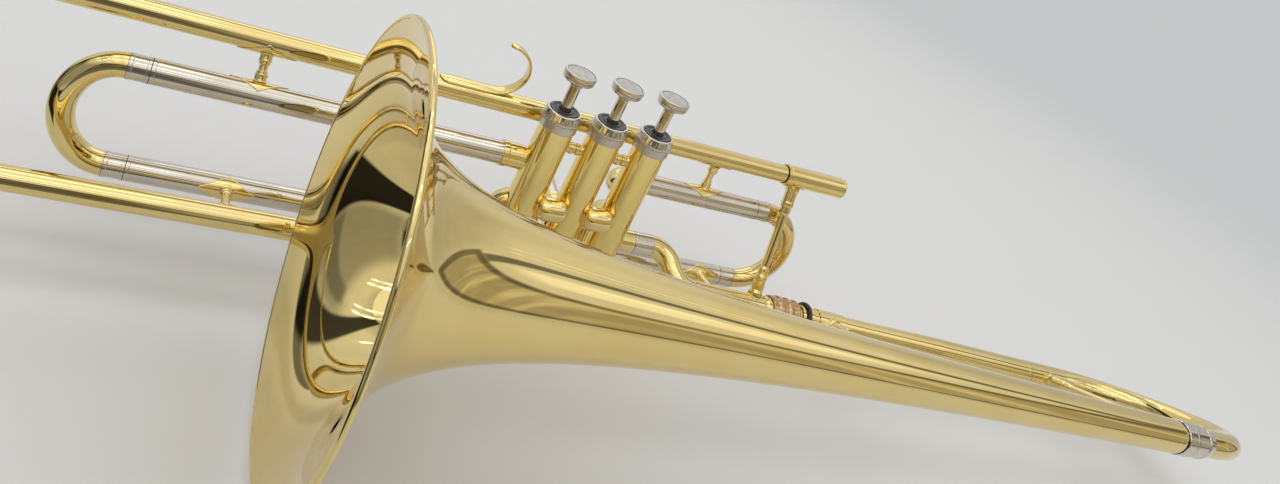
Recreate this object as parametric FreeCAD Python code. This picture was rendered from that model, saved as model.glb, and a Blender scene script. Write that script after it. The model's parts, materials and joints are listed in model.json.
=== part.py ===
import FreeCAD
import Part
import math
import os

# Valve trombone in B flat. Millimetres.
# Origin: centre of the mouthpiece receiver's open end. +X runs forward along the mouthpipe,
# +Y is the player's left (the bell's side) and +Z is up along the three valves.

# Mouthpipe, front bow and return tube
RECEIVER_LENGTH = 49.0
RECEIVER_R = 7.3
RECEIVER_BORE_R = 6.35
RECEIVER_BORE_LENGTH = 28.0
LEADPIPE_REAR_R = 5.9
TUBE_R = 6.4
TUBE_WALL = 0.4
LEADPIPE_TAPER_END_X = 440.0
FRONT_JOINT_X = 716.0
FRONT_FERRULE_LENGTH = 12.0
RETURN_Y = 53.6
RETURN_Z = -76.5
RETURN_ELBOW_BEND = 20.0
RETURN_ELBOW_STRAIGHT = 41.0
RETURN_COLLAR_HALF = 8.0
FERRULE_WALL = 0.6

# Valves
VALVE_Y = 18.4
VALVE_SPACING = 31.1
VALVE_1_X = 161.6
CASING_R = 10.9
CASING_BORE_R = 9.95
CASING_TOP_Z = 7.0
CASING_BOTTOM_Z = -117.0
PISTON_CLEARANCE = 0.05
PISTON_TOP_Z = 1.0
PISTON_BOTTOM_Z = -93.0
PISTON_PASSAGE_R = 6.0
UPPER_PASSAGE_DEPTH = 29.0
LOWER_PASSAGE_DEPTH = 73.0
SLANT_PASSAGE_DEPTHS = (55.6, 47.0)
SPRING_POCKET_R = 8.2
SPRING_POCKET_DEPTH = 6.0
SPRING_WIRE_R = 0.55
SPRING_MEAN_R = 6.6
SPRING_TURNS = 5.0
STEM_R = 3.4
STEM_CLEARANCE = 0.5
BUTTON_R = 10.0
BUTTON_TOP_Z = 39.8
BUTTON_DISH_R = 8.6
INLAY_THICK = 0.9
FELT_R = 9.4
FELT_THICK = 1.6
CAP_SEAT_THICK = 1.6
BOTTOM_CAP_R = 11.8
BOTTOM_CAP_FLOOR = 1.5
BOTTOM_CAP_VENT_R = 2.0
CROOK_Z = -49.0
CROOK_R = 7.6
CROOK_BORE_R = 5.0
CROOK_HALF_LENGTH = 10.5
CROOK_OUT = 8.5
CROOK_PARTS = (-1, -0.97, -0.92, -0.85, -0.75, -0.62, -0.45, 0, 0.45, 0.62, 0.75, 0.85, 0.92, 0.97, 1)
SPACER_Z = -9.3

# Valve slides: outer legs, inner legs and bows
LEG_R = 6.95
LEG_WALL = 0.5
INNER_LEG_CLEARANCE = 0.05
INNER_LEG_WALL = 0.45
BOW_R = 6.65
BOW_WALL = 0.5
SLIDE_GAP = 0.3
STUB_R = 7.5
STUB_BORE_R = 6.0
STUB_3_REACH = (24.4, 34.2)
STUB_1_REACH = (15.6, 19.6)
STUB_2_REACH = 22.4
KNUCKLE_3_REACH = 12.5
KNUCKLE_1_REACH = (6.9, 3.9)
SEAT_LENGTH = 12.0
SLIDE_3_Y = 14.2
SLIDE_3_Z = (-25.3, -85.5)
SLIDE_3_MOUTH_X = 436.5
SLIDE_3_BOW_X = 447.0
SLIDE_3_BOW_DEPTH = 24.5
SLIDE_3_INNER_LENGTH = 174.5
SLIDE_1_Y = 2.0
SLIDE_1_Z = (-30.9, -89.4)
SLIDE_1_MOUTH_X = 59.0
SLIDE_1_BOW_X = 48.4
SLIDE_1_BOW_DEPTH = 29.25
SLIDE_1_INNER_LENGTH = 81.0
SLIDE_2_Z = (-62.0, -87.0)
SLIDE_2_BEHIND_VALVE = 4.3
SLIDE_2_MOUTH_Y = -22.0
SLIDE_2_BOW_Y = -30.0
SLIDE_2_BOW_DEPTH = 12.5
SLIDE_2_INNER_LENGTH = 24.0

# Exit from valve 1 and the lower receiver
EXIT_Z = -65.8
EXIT_R = 7.5
EXIT_BORE_R = 6.2
EXIT_STUB_LENGTH = 18.5
EXIT_SLEEVE_LENGTH = 14.2
EXIT_ELBOW_R = 7.2
EXIT_BEND = 15.5
EXIT_REACH = 11.5
EXIT_SLANT = 8.0
LOWER_RECEIVER_R = 7.3
LOWER_RECEIVER_BORE_R = 6.3
COLLAR_R = 8.4
COLLAR_LENGTH = 18.0

# Bell section. Its tubes drop to the rear from the lock nut.
# Below, "station" is the distance along it from the lock nut, forward positive.
LOCK_X = 22.0
LOCK_Y = 39.3
LOCK_Z = -84.2
SECTION_DROP = 3.4
TENON_R = 6.85
TENON_LENGTH = 20.0
BELL_OFFSET_Y = 118.2
BELL_OFFSET_Z = 57.8
BELL_RIM_R = 102.5
BELL_RIM_STATION = 333.0
BELL_LENGTH = 582.0
BELL_FLARE_LENGTH = 13.0
BELL_FLARE_POWER = 0.58
BELL_WALL = 0.6
BELL_SEAMS = (40.0, 110.0, 190.0)
RIM_BEAD_R = 1.5
TAIL_FERRULE_LENGTH = 11.0
TAIL_FERRULE_LAP = 5.0
TUNING_FERRULE_LENGTH = 22.0
TUNING_JOINT_STATION = BELL_RIM_STATION - BELL_LENGTH
TUNING_STRAIGHT = 39.0
TUNING_ARC_STATION = TUNING_JOINT_STATION - TUNING_STRAIGHT
TUNING_LEG_R = 9.0
TUNING_LEG_LENGTH = 63.0
NEAR_LEG_R = 8.25
NEAR_LEG_LENGTH = 84.0
NEAR_LEG_WALL = 0.55
GOOSENECK_FRONT_R = 7.2
GOOSENECK_REAR_R = 9.3
GOOSENECK_REAR_LENGTH = 100.0
TUNING_BOW_R = 9.4
TUNING_BOW_WALL = 0.7
TUNING_CLEARANCE = 0.05
BRACE_STATION = -40.0
BRACE_SLEEVE_R = 8.5
TUNING_BRACE_BEHIND = 21.0
TUNING_BRACE_STATION = TUNING_JOINT_STATION - TUNING_BRACE_BEHIND
BRACE_ROD_R = 2.6

# Braces
FLANGE = (15.0, 8.4)
SMALL_FLANGE = (9.0, 6.0)
SMALL_BRACE = (2.3, 3.3, 6.0)
GRIP_BRACE = (2.8, 4.4, 19.0)
TUNING_BRACE = (3.0, 4.4, 20.0)
BRACE_3_X = 386.0
BRACE_1_UPPER_X = 102.0
BRACE_1_LOWER_X = 76.0
GRIP_X = 38.5
GRIP_STATION = 27.0

# Hook for the little finger
HOOK_REAR_X = 261.0
HOOK_FRONT_X = 290.5
HOOK_R = 15.2
HOOK_WIDTH = 9.0
HOOK_THICK = 1.5
HOOK_SADDLE = 1.7

# Water key on the front bow
NIPPLE_R = 3.0
NIPPLE_BORE_R = 1.6
NIPPLE_HEIGHT = 4.0
CORK_R = 3.4
CORK_THICK = 2.2
KEY_CUP_R = 4.2
KEY_CUP_THICK = 1.2
KEY_ARM = 15.0
KEY_TAIL = 14.0
KEY_ROD_R = 1.2
KEY_PIN_R = 1.0
KEY_PIN_CLEARANCE = 0.05
KEY_BARREL_R = 2.2
KEY_BARREL_HALF = 2.2
KEY_CHEEK = 1.5
KEY_CHEEK_GAP = 0.2

X_AXIS = FreeCAD.Vector(1, 0, 0)
Y_AXIS = FreeCAD.Vector(0, 1, 0)
Z_AXIS = FreeCAD.Vector(0, 0, 1)
VALVES = range(1, 4)
VALVE_X = {n: VALVE_1_X + (n - 1) * VALVE_SPACING for n in VALVES}
PISTON_R = CASING_BORE_R - PISTON_CLEARANCE
INNER_LEG_R = LEG_R - LEG_WALL - INNER_LEG_CLEARANCE
BELL_OFFSET = math.hypot(BELL_OFFSET_Y, BELL_OFFSET_Z)
ACROSS = FreeCAD.Vector(0, BELL_OFFSET_Y / BELL_OFFSET, BELL_OFFSET_Z / BELL_OFFSET)
SECTION_PLACE = FreeCAD.Placement(
    FreeCAD.Vector(LOCK_X, LOCK_Y, LOCK_Z),
    FreeCAD.Rotation(Y_AXIS, -SECTION_DROP))
SECTION_LINE = SECTION_PLACE.Rotation.multVec(X_AXIS)


def vec(x, y, z):
    return FreeCAD.Vector(x, y, z)


def rod(start, end, radius):
    """Solid cylinder between two points."""
    line = end - start
    return Part.makeCylinder(radius, line.Length, start, line)


def sleeve(start, end, outer, inner):
    """Straight tube between two points."""
    line = end - start
    step = FreeCAD.Vector(line).normalize()
    return rod(start, end, outer).cut(rod(start - step, end + step, inner))


def turned(start, direction, outline):
    """Solid of revolution: outline is (distance along the axis, radius) pairs."""
    points = [vec(0, 0, outline[0][0])]
    points += [vec(r, 0, a) for a, r in outline]
    points += [vec(0, 0, outline[-1][0])]
    cleaned = [points[0]]
    for point in points[1:]:
        if (point - cleaned[-1]).Length > 1e-6:
            cleaned.append(point)
    face = Part.Face(Part.makePolygon(cleaned + [cleaned[0]]))
    solid = face.revolve(vec(0, 0, 0), Z_AXIS, 360)
    solid.Placement = FreeCAD.Placement(start, FreeCAD.Rotation(Z_AXIS, direction))
    return solid


def bent_wire(points, bend):
    """Line through the points with each corner rounded to the bend radius."""
    edges = []
    here = points[0]
    for before, corner, after in zip(points, points[1:], points[2:]):
        back = FreeCAD.Vector(before - corner).normalize()
        ahead = FreeCAD.Vector(after - corner).normalize()
        half = back.getAngle(ahead) / 2
        cut = bend / math.tan(half)
        start = corner + back * cut
        end = corner + ahead * cut
        middle = FreeCAD.Vector(back + ahead).normalize()
        centre = corner + middle * (bend / math.sin(half))
        if (start - here).Length > 1e-3:
            edges.append(Part.makeLine(here, start))
        edges.append(Part.Arc(start, centre - middle * bend, end).toShape())
        here = end
    if (points[-1] - here).Length > 1e-3:
        edges.append(Part.makeLine(here, points[-1]))
    return Part.Wire(edges)


def bar_along(wire, radius):
    """Round bar along a wire."""
    edge = wire.Edges[0]
    start = edge.valueAt(edge.FirstParameter)
    heading = edge.tangentAt(edge.FirstParameter)
    circle = Part.Wire([Part.makeCircle(radius, start, heading)])
    return wire.makePipeShell([circle], True, False)


def pipe(wire, outer, inner):
    """Bent tube along a wire."""
    return bar_along(wire, outer).cut(bar_along(wire, inner))


def bow_wire(first, second, heading, depth):
    """Path of a bow from one tube end to the other: half an ellipse as deep as the bow."""
    centre = (first + second) * 0.5
    crown = centre + FreeCAD.Vector(heading).normalize() * depth
    half = (second - first).Length / 2
    if abs(half - depth) < 1e-3:
        return Part.Wire([Part.Arc(first, crown, second).toShape()])
    if depth < half:
        ellipse = Part.Ellipse(first, crown, centre)
        return Part.Wire([Part.ArcOfEllipse(ellipse, 0, math.pi).toShape()])
    ellipse = Part.Ellipse(crown, second, centre)
    return Part.Wire([Part.ArcOfEllipse(ellipse, -math.pi / 2, math.pi / 2).toShape()])


def largest(shape):
    """Biggest solid of a shape that a cut has left in pieces."""
    return max(shape.Solids, key=lambda solid: solid.Volume)


def fused(*solids):
    """One shape from solids that touch."""
    result = solids[0].multiFuse(list(solids[1:]))
    return result.removeSplitter()


def saddle(centre, tube_line, tube_r, outward, half_length, half_width, thick=0.8):
    """Diamond flange wrapped on a tube under the foot of a brace."""
    side = FreeCAD.Vector(tube_line.cross(outward)).normalize()
    ring = sleeve(centre - tube_line * (half_length + 2), centre + tube_line * (half_length + 2),
                  tube_r + thick, tube_r)
    corners = [centre + tube_line * half_length, centre + side * half_width,
               centre - tube_line * half_length, centre - side * half_width]
    diamond = Part.Face(Part.makePolygon(corners + [corners[0]]))
    return ring.common(diamond.extrude(outward * (tube_r + 4 * thick)))


def brace(first, first_line, first_r, second, second_line, second_r, sizes, flange):
    """Turned brace between two tubes, with a stepped socket and a diamond flange at each end.

    sizes are the radius of the rod, the radius of a socket and its length."""
    rod_r, socket_r, socket_length = sizes
    line = second - first
    along = FreeCAD.Vector(line).normalize()
    a = first_r - 0.5
    b = line.Length - second_r + 0.5
    outline = [(a, socket_r), (a + socket_length * 0.6, socket_r),
               (a + socket_length * 0.62, socket_r - 0.4), (a + socket_length, socket_r - 0.4),
               (a + socket_length * 1.02, rod_r), (b - socket_length * 1.02, rod_r),
               (b - socket_length, socket_r - 0.4), (b - socket_length * 0.62, socket_r - 0.4),
               (b - socket_length * 0.6, socket_r), (b, socket_r)]
    post = turned(first, along, outline)
    reach = 60.0
    post = post.cut(rod(first - first_line * reach, first + first_line * reach, first_r))
    post = post.cut(rod(second - second_line * reach, second + second_line * reach, second_r))
    feet = [saddle(first, first_line, first_r, along, *flange),
            saddle(second, second_line, second_r, along * -1, *flange)]
    return fused(post, *feet)


def in_section(shape):
    """Turn a shape drawn along the stations into the instrument's frame."""
    placed = shape.copy()
    placed.Placement = SECTION_PLACE.multiply(placed.Placement)
    return placed


def section_point(station, across=0.0, up=0.0):
    """Point of the instrument for a station, with offsets to the left and up."""
    return SECTION_PLACE.multVec(vec(station, across, up))


def bell_radius(distance):
    """Outer radius of the horn at a distance behind the rim."""
    return BELL_RIM_R * (1 + distance / BELL_FLARE_LENGTH) ** -BELL_FLARE_POWER


def bell_axis_point(distance):
    """Point on the bell's axis at a distance behind the rim, along the stations."""
    return vec(BELL_RIM_STATION - distance, BELL_OFFSET_Y, BELL_OFFSET_Z)


def leadpipe_radius(x):
    """Outer radius of the tapered mouthpipe at a place along it."""
    part = (x - RECEIVER_LENGTH) / (LEADPIPE_TAPER_END_X - RECEIVER_LENGTH)
    return LEADPIPE_REAR_R + (TUBE_R - LEADPIPE_REAR_R) * min(1.0, max(0.0, part))


def casing_body(number):
    """Outer cylinder of a valve's casing."""
    return rod(vec(VALVE_X[number], VALVE_Y, CASING_BOTTOM_Z), vec(VALVE_X[number], VALVE_Y, CASING_TOP_Z),
               CASING_R)


nodes = {}

# Mouthpiece receiver: a straight bore for the mouthpiece, then a seat for the mouthpipe.
receiver = turned(vec(0, 0, 0), X_AXIS, [
    (0, RECEIVER_R - 0.7), (0.25, RECEIVER_R - 0.25), (0.8, RECEIVER_R),
    (RECEIVER_LENGTH, RECEIVER_R)])
receiver = receiver.cut(rod(vec(-1, 0, 0), vec(RECEIVER_BORE_LENGTH, 0, 0), RECEIVER_BORE_R))
receiver = receiver.cut(rod(vec(RECEIVER_BORE_LENGTH - 1, 0, 0), vec(RECEIVER_LENGTH + 1, 0, 0),
                            LEADPIPE_REAR_R))
nodes["mouthpiece_receiver"] = receiver

leadpipe = turned(vec(0, 0, 0), X_AXIS, [
    (RECEIVER_BORE_LENGTH, LEADPIPE_REAR_R), (RECEIVER_LENGTH, LEADPIPE_REAR_R),
    (LEADPIPE_TAPER_END_X, TUBE_R), (FRONT_JOINT_X, TUBE_R)])
leadpipe_bore = turned(vec(0, 0, 0), X_AXIS, [
    (RECEIVER_BORE_LENGTH - 1, LEADPIPE_REAR_R - TUBE_WALL),
    (RECEIVER_LENGTH, LEADPIPE_REAR_R - TUBE_WALL),
    (LEADPIPE_TAPER_END_X, TUBE_R - TUBE_WALL), (FRONT_JOINT_X + 1, TUBE_R - TUBE_WALL)])
nodes["leadpipe"] = leadpipe.cut(leadpipe_bore)

# Front bow between the mouthpipe and the return tube, with a sleeve over each joint
# and the water key's nipple on its crown.
bow_top = vec(FRONT_JOINT_X, 0, 0)
bow_low = vec(FRONT_JOINT_X, RETURN_Y, RETURN_Z)
front_span = FreeCAD.Vector(bow_low - bow_top).normalize()
front_depth = (bow_low - bow_top).Length / 2
front_wire = bow_wire(bow_top, bow_low, X_AXIS, front_depth)
front_crown = (bow_top + bow_low) * 0.5 + X_AXIS * front_depth
bow_bore = bar_along(front_wire, TUBE_R - TUBE_WALL)
bow_body = bar_along(front_wire, TUBE_R)
seat = front_crown + X_AXIS * (TUBE_R + NIPPLE_HEIGHT)
nipple = rod(front_crown + X_AXIS * (TUBE_R - 0.8), seat, NIPPLE_R)
drain = rod(front_crown, seat + X_AXIS, NIPPLE_BORE_R)
nodes["front_bow"] = fused(bow_body, nipple).cut(bow_bore).cut(drain)
nodes["front_bow_ferrules"] = Part.makeCompound([
    sleeve(vec(FRONT_JOINT_X - FRONT_FERRULE_LENGTH, y, z), vec(FRONT_JOINT_X, y, z),
           TUBE_R + FERRULE_WALL, TUBE_R)
    for y, z in ((0, 0), (RETURN_Y, RETURN_Z))])

# Return tube and the elbow that takes it into valve 3 from the left.
elbow_start_x = VALVE_X[3] + RETURN_ELBOW_BEND + RETURN_ELBOW_STRAIGHT
nodes["return_tube"] = sleeve(vec(elbow_start_x, RETURN_Y, RETURN_Z),
                              vec(FRONT_JOINT_X, RETURN_Y, RETURN_Z), TUBE_R, TUBE_R - TUBE_WALL)
elbow_wire = bent_wire([vec(elbow_start_x, RETURN_Y, RETURN_Z), vec(VALVE_X[3], RETURN_Y, RETURN_Z),
                        vec(VALVE_X[3], VALVE_Y + 4, RETURN_Z)], RETURN_ELBOW_BEND)
elbow = pipe(elbow_wire, TUBE_R, TUBE_R - TUBE_WALL).cut(casing_body(3))
elbow_collar = sleeve(vec(elbow_start_x - RETURN_COLLAR_HALF, RETURN_Y, RETURN_Z),
                      vec(elbow_start_x + RETURN_COLLAR_HALF, RETURN_Y, RETURN_Z),
                      TUBE_R + FERRULE_WALL, TUBE_R)
nodes["return_elbow"] = fused(elbow, elbow_collar)

# Valve casings with the knuckles that hold the fixed slide legs.


def valve_casing(number, branches, holes):
    """Casing with its fixed tube branches; holes are the bores cut through the wall."""
    shape = fused(casing_body(number), *branches)
    for hole in holes:
        shape = shape.cut(hole)
    x = VALVE_X[number]
    return shape.cut(rod(vec(x, VALVE_Y, CASING_BOTTOM_Z - 1), vec(x, VALVE_Y, CASING_TOP_Z + 1),
                         CASING_BORE_R))


def stub(points, bend):
    """Knuckle from a casing to a slide leg: solid outside, its bore and the leg's seat."""
    wire = bent_wire(points, bend)
    outside = bar_along(wire, STUB_R)
    bore = bar_along(wire, STUB_BORE_R)
    heading = FreeCAD.Vector(points[0] - points[1]).normalize()
    leg_seat = rod(points[0] + heading, points[0] - heading * SEAT_LENGTH, LEG_R)
    return outside, [bore, leg_seat]


STUB_3_UPPER_X = VALVE_X[3] + STUB_3_REACH[0]
STUB_3_LOWER_X = VALVE_X[3] + STUB_3_REACH[1]
STUB_1_UPPER_X = VALVE_X[1] - STUB_1_REACH[0]
STUB_1_LOWER_X = VALVE_X[1] - STUB_1_REACH[1]
STUB_2_Y = VALVE_Y - STUB_2_REACH
SLIDE_2_X = VALVE_X[2] + SLIDE_2_BEHIND_VALVE
KNUCKLE_3_X = VALVE_X[3] + KNUCKLE_3_REACH
KNUCKLE_1_UPPER_X = VALVE_X[1] + KNUCKLE_1_REACH[0]
KNUCKLE_1_LOWER_X = VALVE_X[1] + KNUCKLE_1_REACH[1]
MIDDLE_PORT_Z = -54.6

upper_3, upper_3_holes = stub([vec(STUB_3_UPPER_X, SLIDE_3_Y, SLIDE_3_Z[0]),
                               vec(KNUCKLE_3_X, SLIDE_3_Y, SLIDE_3_Z[0]),
                               vec(VALVE_X[3], VALVE_Y - 3, SLIDE_3_Z[0] - 2)], 8.0)
lower_3, lower_3_holes = stub([vec(STUB_3_LOWER_X, SLIDE_3_Y, SLIDE_3_Z[1]),
                               vec(KNUCKLE_3_X, SLIDE_3_Y, SLIDE_3_Z[1]),
                               vec(KNUCKLE_3_X, SLIDE_3_Y, MIDDLE_PORT_Z),
                               vec(VALVE_X[3], VALVE_Y - 3, MIDDLE_PORT_Z)], 8.5)
entry_hole = rod(vec(VALVE_X[3], VALVE_Y, RETURN_Z), vec(VALVE_X[3], VALVE_Y + 2 * CASING_R, RETURN_Z),
                 TUBE_R - TUBE_WALL)

# Crooks that carry the air from valve to valve: short barrels on the left of the casings.
crook_middles = {n: (VALVE_X[n] + VALVE_X[n - 1]) / 2 for n in (2, 3)}
crook_bores = {}
crooks = []
for n, middle in crook_middles.items():
    centre = vec(middle, VALVE_Y + CROOK_OUT, CROOK_Z)
    h = CROOK_HALF_LENGTH
    barrel = turned(centre, X_AXIS, [
        (part * h, CROOK_R * math.sqrt(1 - abs(part) ** 4)) for part in CROOK_PARTS])
    crook_bores[n] = rod(centre - X_AXIS * (h - 1.9), centre + X_AXIS * (h - 1.9), CROOK_BORE_R)
    crooks.append(largest(barrel.cut(crook_bores[n]).cut(casing_body(n)).cut(casing_body(n - 1))))
nodes["valve_crooks"] = Part.makeCompound(crooks)

nodes["casing_3"] = valve_casing(3, [upper_3, lower_3],
                                 upper_3_holes + lower_3_holes + [entry_hole, crook_bores[3]])

legs_2 = []
holes_2 = []
for z in SLIDE_2_Z:
    outside, holes = stub([vec(SLIDE_2_X, STUB_2_Y, z), vec(SLIDE_2_X, VALVE_Y - 4, z)], 0)
    legs_2.append(outside)
    holes_2 += holes
nodes["casing_2"] = valve_casing(2, legs_2, holes_2 + [crook_bores[3], crook_bores[2]])

upper_1, upper_1_holes = stub([vec(STUB_1_UPPER_X, SLIDE_1_Y, SLIDE_1_Z[0]),
                               vec(KNUCKLE_1_UPPER_X, SLIDE_1_Y, SLIDE_1_Z[0]),
                               vec(VALVE_X[1] + 2, VALVE_Y - 3, SLIDE_1_Z[0])], 7.6)
lower_1, lower_1_holes = stub([vec(STUB_1_LOWER_X, SLIDE_1_Y, SLIDE_1_Z[1]),
                               vec(KNUCKLE_1_LOWER_X, SLIDE_1_Y, SLIDE_1_Z[1]),
                               vec(KNUCKLE_1_LOWER_X, SLIDE_1_Y, MIDDLE_PORT_Z),
                               vec(VALVE_X[1] + 1, VALVE_Y - 3, MIDDLE_PORT_Z)], 7.8)
exit_face_x = VALVE_X[1] - EXIT_STUB_LENGTH
exit_stub = rod(vec(VALVE_X[1], VALVE_Y, EXIT_Z), vec(exit_face_x, VALVE_Y, EXIT_Z), EXIT_R)
exit_hole = rod(vec(VALVE_X[1], VALVE_Y, EXIT_Z), vec(exit_face_x - 1, VALVE_Y, EXIT_Z), EXIT_BORE_R)
nodes["casing_1"] = valve_casing(1, [upper_1, lower_1, exit_stub],
                                 upper_1_holes + lower_1_holes + [exit_hole, crook_bores[2]])

# Turned spacers between the casings, near their tops.
spacers = []
for n, middle in crook_middles.items():
    half = VALVE_SPACING / 2 - CASING_R + 2
    spacer = turned(vec(middle, VALVE_Y, SPACER_Z), X_AXIS, [
        (-half, 3.0), (-3.4, 3.0), (-3.2, 3.6), (-0.6, 3.6), (-0.2, 2.4), (0.2, 2.4),
        (0.6, 3.6), (3.2, 3.6), (3.4, 3.0), (half, 3.0)])
    spacers.append(spacer.cut(casing_body(n)).cut(casing_body(n - 1)))
nodes["valve_spacers"] = Part.makeCompound(spacers)

# Exit: a nickel sleeve, then a brass elbow over to the lower receiver tube.
exit_sleeve_end_x = exit_face_x - EXIT_SLEEVE_LENGTH
exit_corner_x = exit_sleeve_end_x - EXIT_REACH
nodes["exit_sleeve"] = sleeve(vec(exit_face_x, VALVE_Y, EXIT_Z), vec(exit_sleeve_end_x, VALVE_Y, EXIT_Z),
                              EXIT_R, EXIT_BORE_R)
corner_station = (exit_corner_x - EXIT_SLANT - LOCK_X) / SECTION_LINE.x
receiver_front = corner_station - EXIT_REACH - 0.6
exit_wire = bent_wire([vec(exit_sleeve_end_x, VALVE_Y, EXIT_Z), vec(exit_corner_x, VALVE_Y, EXIT_Z),
                       section_point(corner_station), section_point(receiver_front)], EXIT_BEND)
nodes["exit_elbow"] = pipe(exit_wire, EXIT_ELBOW_R, EXIT_BORE_R)

# Lower receiver: a tube and the collar that the bell section's tenon plugs into.
seat_depth = TENON_LENGTH + 2
lower_receiver = turned(vec(0, 0, 0), X_AXIS, [
    (0, COLLAR_R), (COLLAR_LENGTH, COLLAR_R), (COLLAR_LENGTH + 0.5, LOWER_RECEIVER_R),
    (receiver_front, LOWER_RECEIVER_R)])
lower_receiver = lower_receiver.cut(rod(vec(seat_depth, 0, 0), vec(receiver_front + 1, 0, 0),
                                        LOWER_RECEIVER_BORE_R))
lower_receiver = lower_receiver.cut(rod(vec(-1, 0, 0), vec(seat_depth, 0, 0),
                                        TENON_R + TUNING_CLEARANCE))
nodes["lower_receiver"] = in_section(lower_receiver)

# Lock nut: a turned coupling that runs on the collar and draws up the tenon's flange.
NUT_FRONT = 14.0
NUT_STEP = -2.0
NUT_REAR = -9.5
NUT_R = 10.6
lock_nut = turned(vec(0, 0, 0), X_AXIS, [
    (NUT_REAR, NUT_R - 1.0), (NUT_REAR + 0.5, NUT_R - 0.4), (-6.2, NUT_R - 0.4), (-5.8, NUT_R - 1.1),
    (-3.2, NUT_R - 1.1), (-2.8, NUT_R), (1.5, NUT_R), (1.9, NUT_R - 0.9), (3.8, NUT_R - 0.9),
    (4.2, NUT_R), (9.5, NUT_R), (10, NUT_R - 0.5), (NUT_FRONT - 0.4, NUT_R - 0.8),
    (NUT_FRONT, NUT_R - 1.2)])
lock_nut = lock_nut.cut(rod(vec(NUT_STEP, 0, 0), vec(NUT_FRONT + 1, 0, 0), COLLAR_R + 0.1))
lock_nut = lock_nut.cut(rod(vec(NUT_REAR - 1, 0, 0), vec(NUT_STEP + 1, 0, 0), GOOSENECK_FRONT_R + 0.4))
nodes["lock_nut"] = in_section(lock_nut)

# Gooseneck: the bell section's straight tube, with its tenon, brace sleeve and rubber ring.
RING_STATION = -17.5
RING_SECTION_R = 1.5
RING_SEAT_R = 7.9
sleeve_half = 12.0
gooseneck = turned(vec(0, 0, 0), X_AXIS, [
    (TUNING_JOINT_STATION, GOOSENECK_REAR_R),
    (TUNING_JOINT_STATION + GOOSENECK_REAR_LENGTH, GOOSENECK_REAR_R),
    (BRACE_STATION - sleeve_half, GOOSENECK_FRONT_R + 0.3),
    (BRACE_STATION - sleeve_half + 0.4, BRACE_SLEEVE_R),
    (BRACE_STATION + sleeve_half, BRACE_SLEEVE_R),
    (BRACE_STATION + sleeve_half + 0.4, GOOSENECK_FRONT_R + 0.3),
    (RING_STATION - 6.0, GOOSENECK_FRONT_R + 0.3), (RING_STATION - 5.8, RING_SEAT_R + 0.7),
    (RING_STATION + 5.0, RING_SEAT_R + 0.7), (RING_STATION + 5.2, GOOSENECK_FRONT_R),
    (-3, GOOSENECK_FRONT_R), (-2.8, TENON_R), (TENON_LENGTH, TENON_R)])
gooseneck_bore = turned(vec(0, 0, 0), X_AXIS, [
    (TUNING_JOINT_STATION - 1, NEAR_LEG_R + TUNING_CLEARANCE),
    (TUNING_JOINT_STATION + GOOSENECK_REAR_LENGTH, NEAR_LEG_R + TUNING_CLEARANCE),
    (BRACE_STATION - sleeve_half, GOOSENECK_FRONT_R - 0.7),
    (RING_STATION, TENON_R - 0.6), (TENON_LENGTH + 1, TENON_R - 0.8)])
ring_groove = sleeve(vec(RING_STATION - RING_SECTION_R, 0, 0), vec(RING_STATION + RING_SECTION_R, 0, 0),
                     RING_SEAT_R + 2, RING_SEAT_R)
gooseneck = gooseneck.cut(gooseneck_bore).cut(ring_groove)
nodes["gooseneck"] = in_section(gooseneck)
o_ring = Part.makeTorus(RING_SEAT_R + RING_SECTION_R, RING_SECTION_R, vec(RING_STATION, 0, 0), X_AXIS)
nodes["gooseneck_ring"] = in_section(o_ring)

# Bell: a flare that follows a power law of the distance behind the rim.
axis_start = bell_axis_point(0)
shape_steps = [0, 1, 2, 3.5, 5, 7, 10, 14, 19, 26, 35, 47, 62, 80, 105, 140, 185, 240, 310, 400, 490]
distances = [step for step in shape_steps if step < 0.95 * BELL_LENGTH] + [BELL_LENGTH]
edge_r = BELL_RIM_R - RIM_BEAD_R
outer_points = []
inner_points = []
for distance in distances:
    radius = min(bell_radius(distance), edge_r)
    outer_points.append(vec(radius, 0, -distance))
    slope = BELL_FLARE_POWER * bell_radius(distance) / (BELL_FLARE_LENGTH + distance)
    steep = math.hypot(1, slope)
    inner_points.append(vec(radius - BELL_WALL / steep, 0, -distance + BELL_WALL * slope / steep))
outer_curve = Part.BSplineCurve()
outer_curve.interpolate(outer_points)
inner_curve = Part.BSplineCurve()
inner_curve.interpolate(inner_points)
wall = Part.Wire([
    outer_curve.toShape(), Part.makeLine(outer_points[-1], inner_points[-1]),
    inner_curve.toShape(), Part.makeLine(inner_points[0], outer_points[0])])
bell = Part.Face(wall).revolve(vec(0, 0, 0), Z_AXIS, 360)
bell.Placement = FreeCAD.Placement(axis_start, FreeCAD.Rotation(Z_AXIS, X_AXIS))

# The horn as a full body, for the pieces that are cut to sit on it.
horn_outline = Part.Wire([
    outer_curve.toShape(), Part.makeLine(outer_points[-1], vec(0, 0, -BELL_LENGTH)),
    Part.makeLine(vec(0, 0, -BELL_LENGTH), vec(0, 0, 0)), Part.makeLine(vec(0, 0, 0), outer_points[0])])
horn_body = Part.Face(horn_outline).revolve(vec(0, 0, 0), Z_AXIS, 360)
horn_body.Placement = bell.Placement

# The horn is made in rings that meet at its seams, from the rim to the tail.
seams = [-5.0] + list(BELL_SEAMS) + [BELL_LENGTH + 5.0]
for name, front, rear in zip(("bell_flare", "bell_throat", "bell_horn", "bell_tail"), seams, seams[1:]):
    ring = bell.common(rod(bell_axis_point(front), bell_axis_point(rear), BELL_RIM_R + 5))
    nodes[name] = in_section(largest(ring))

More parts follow.
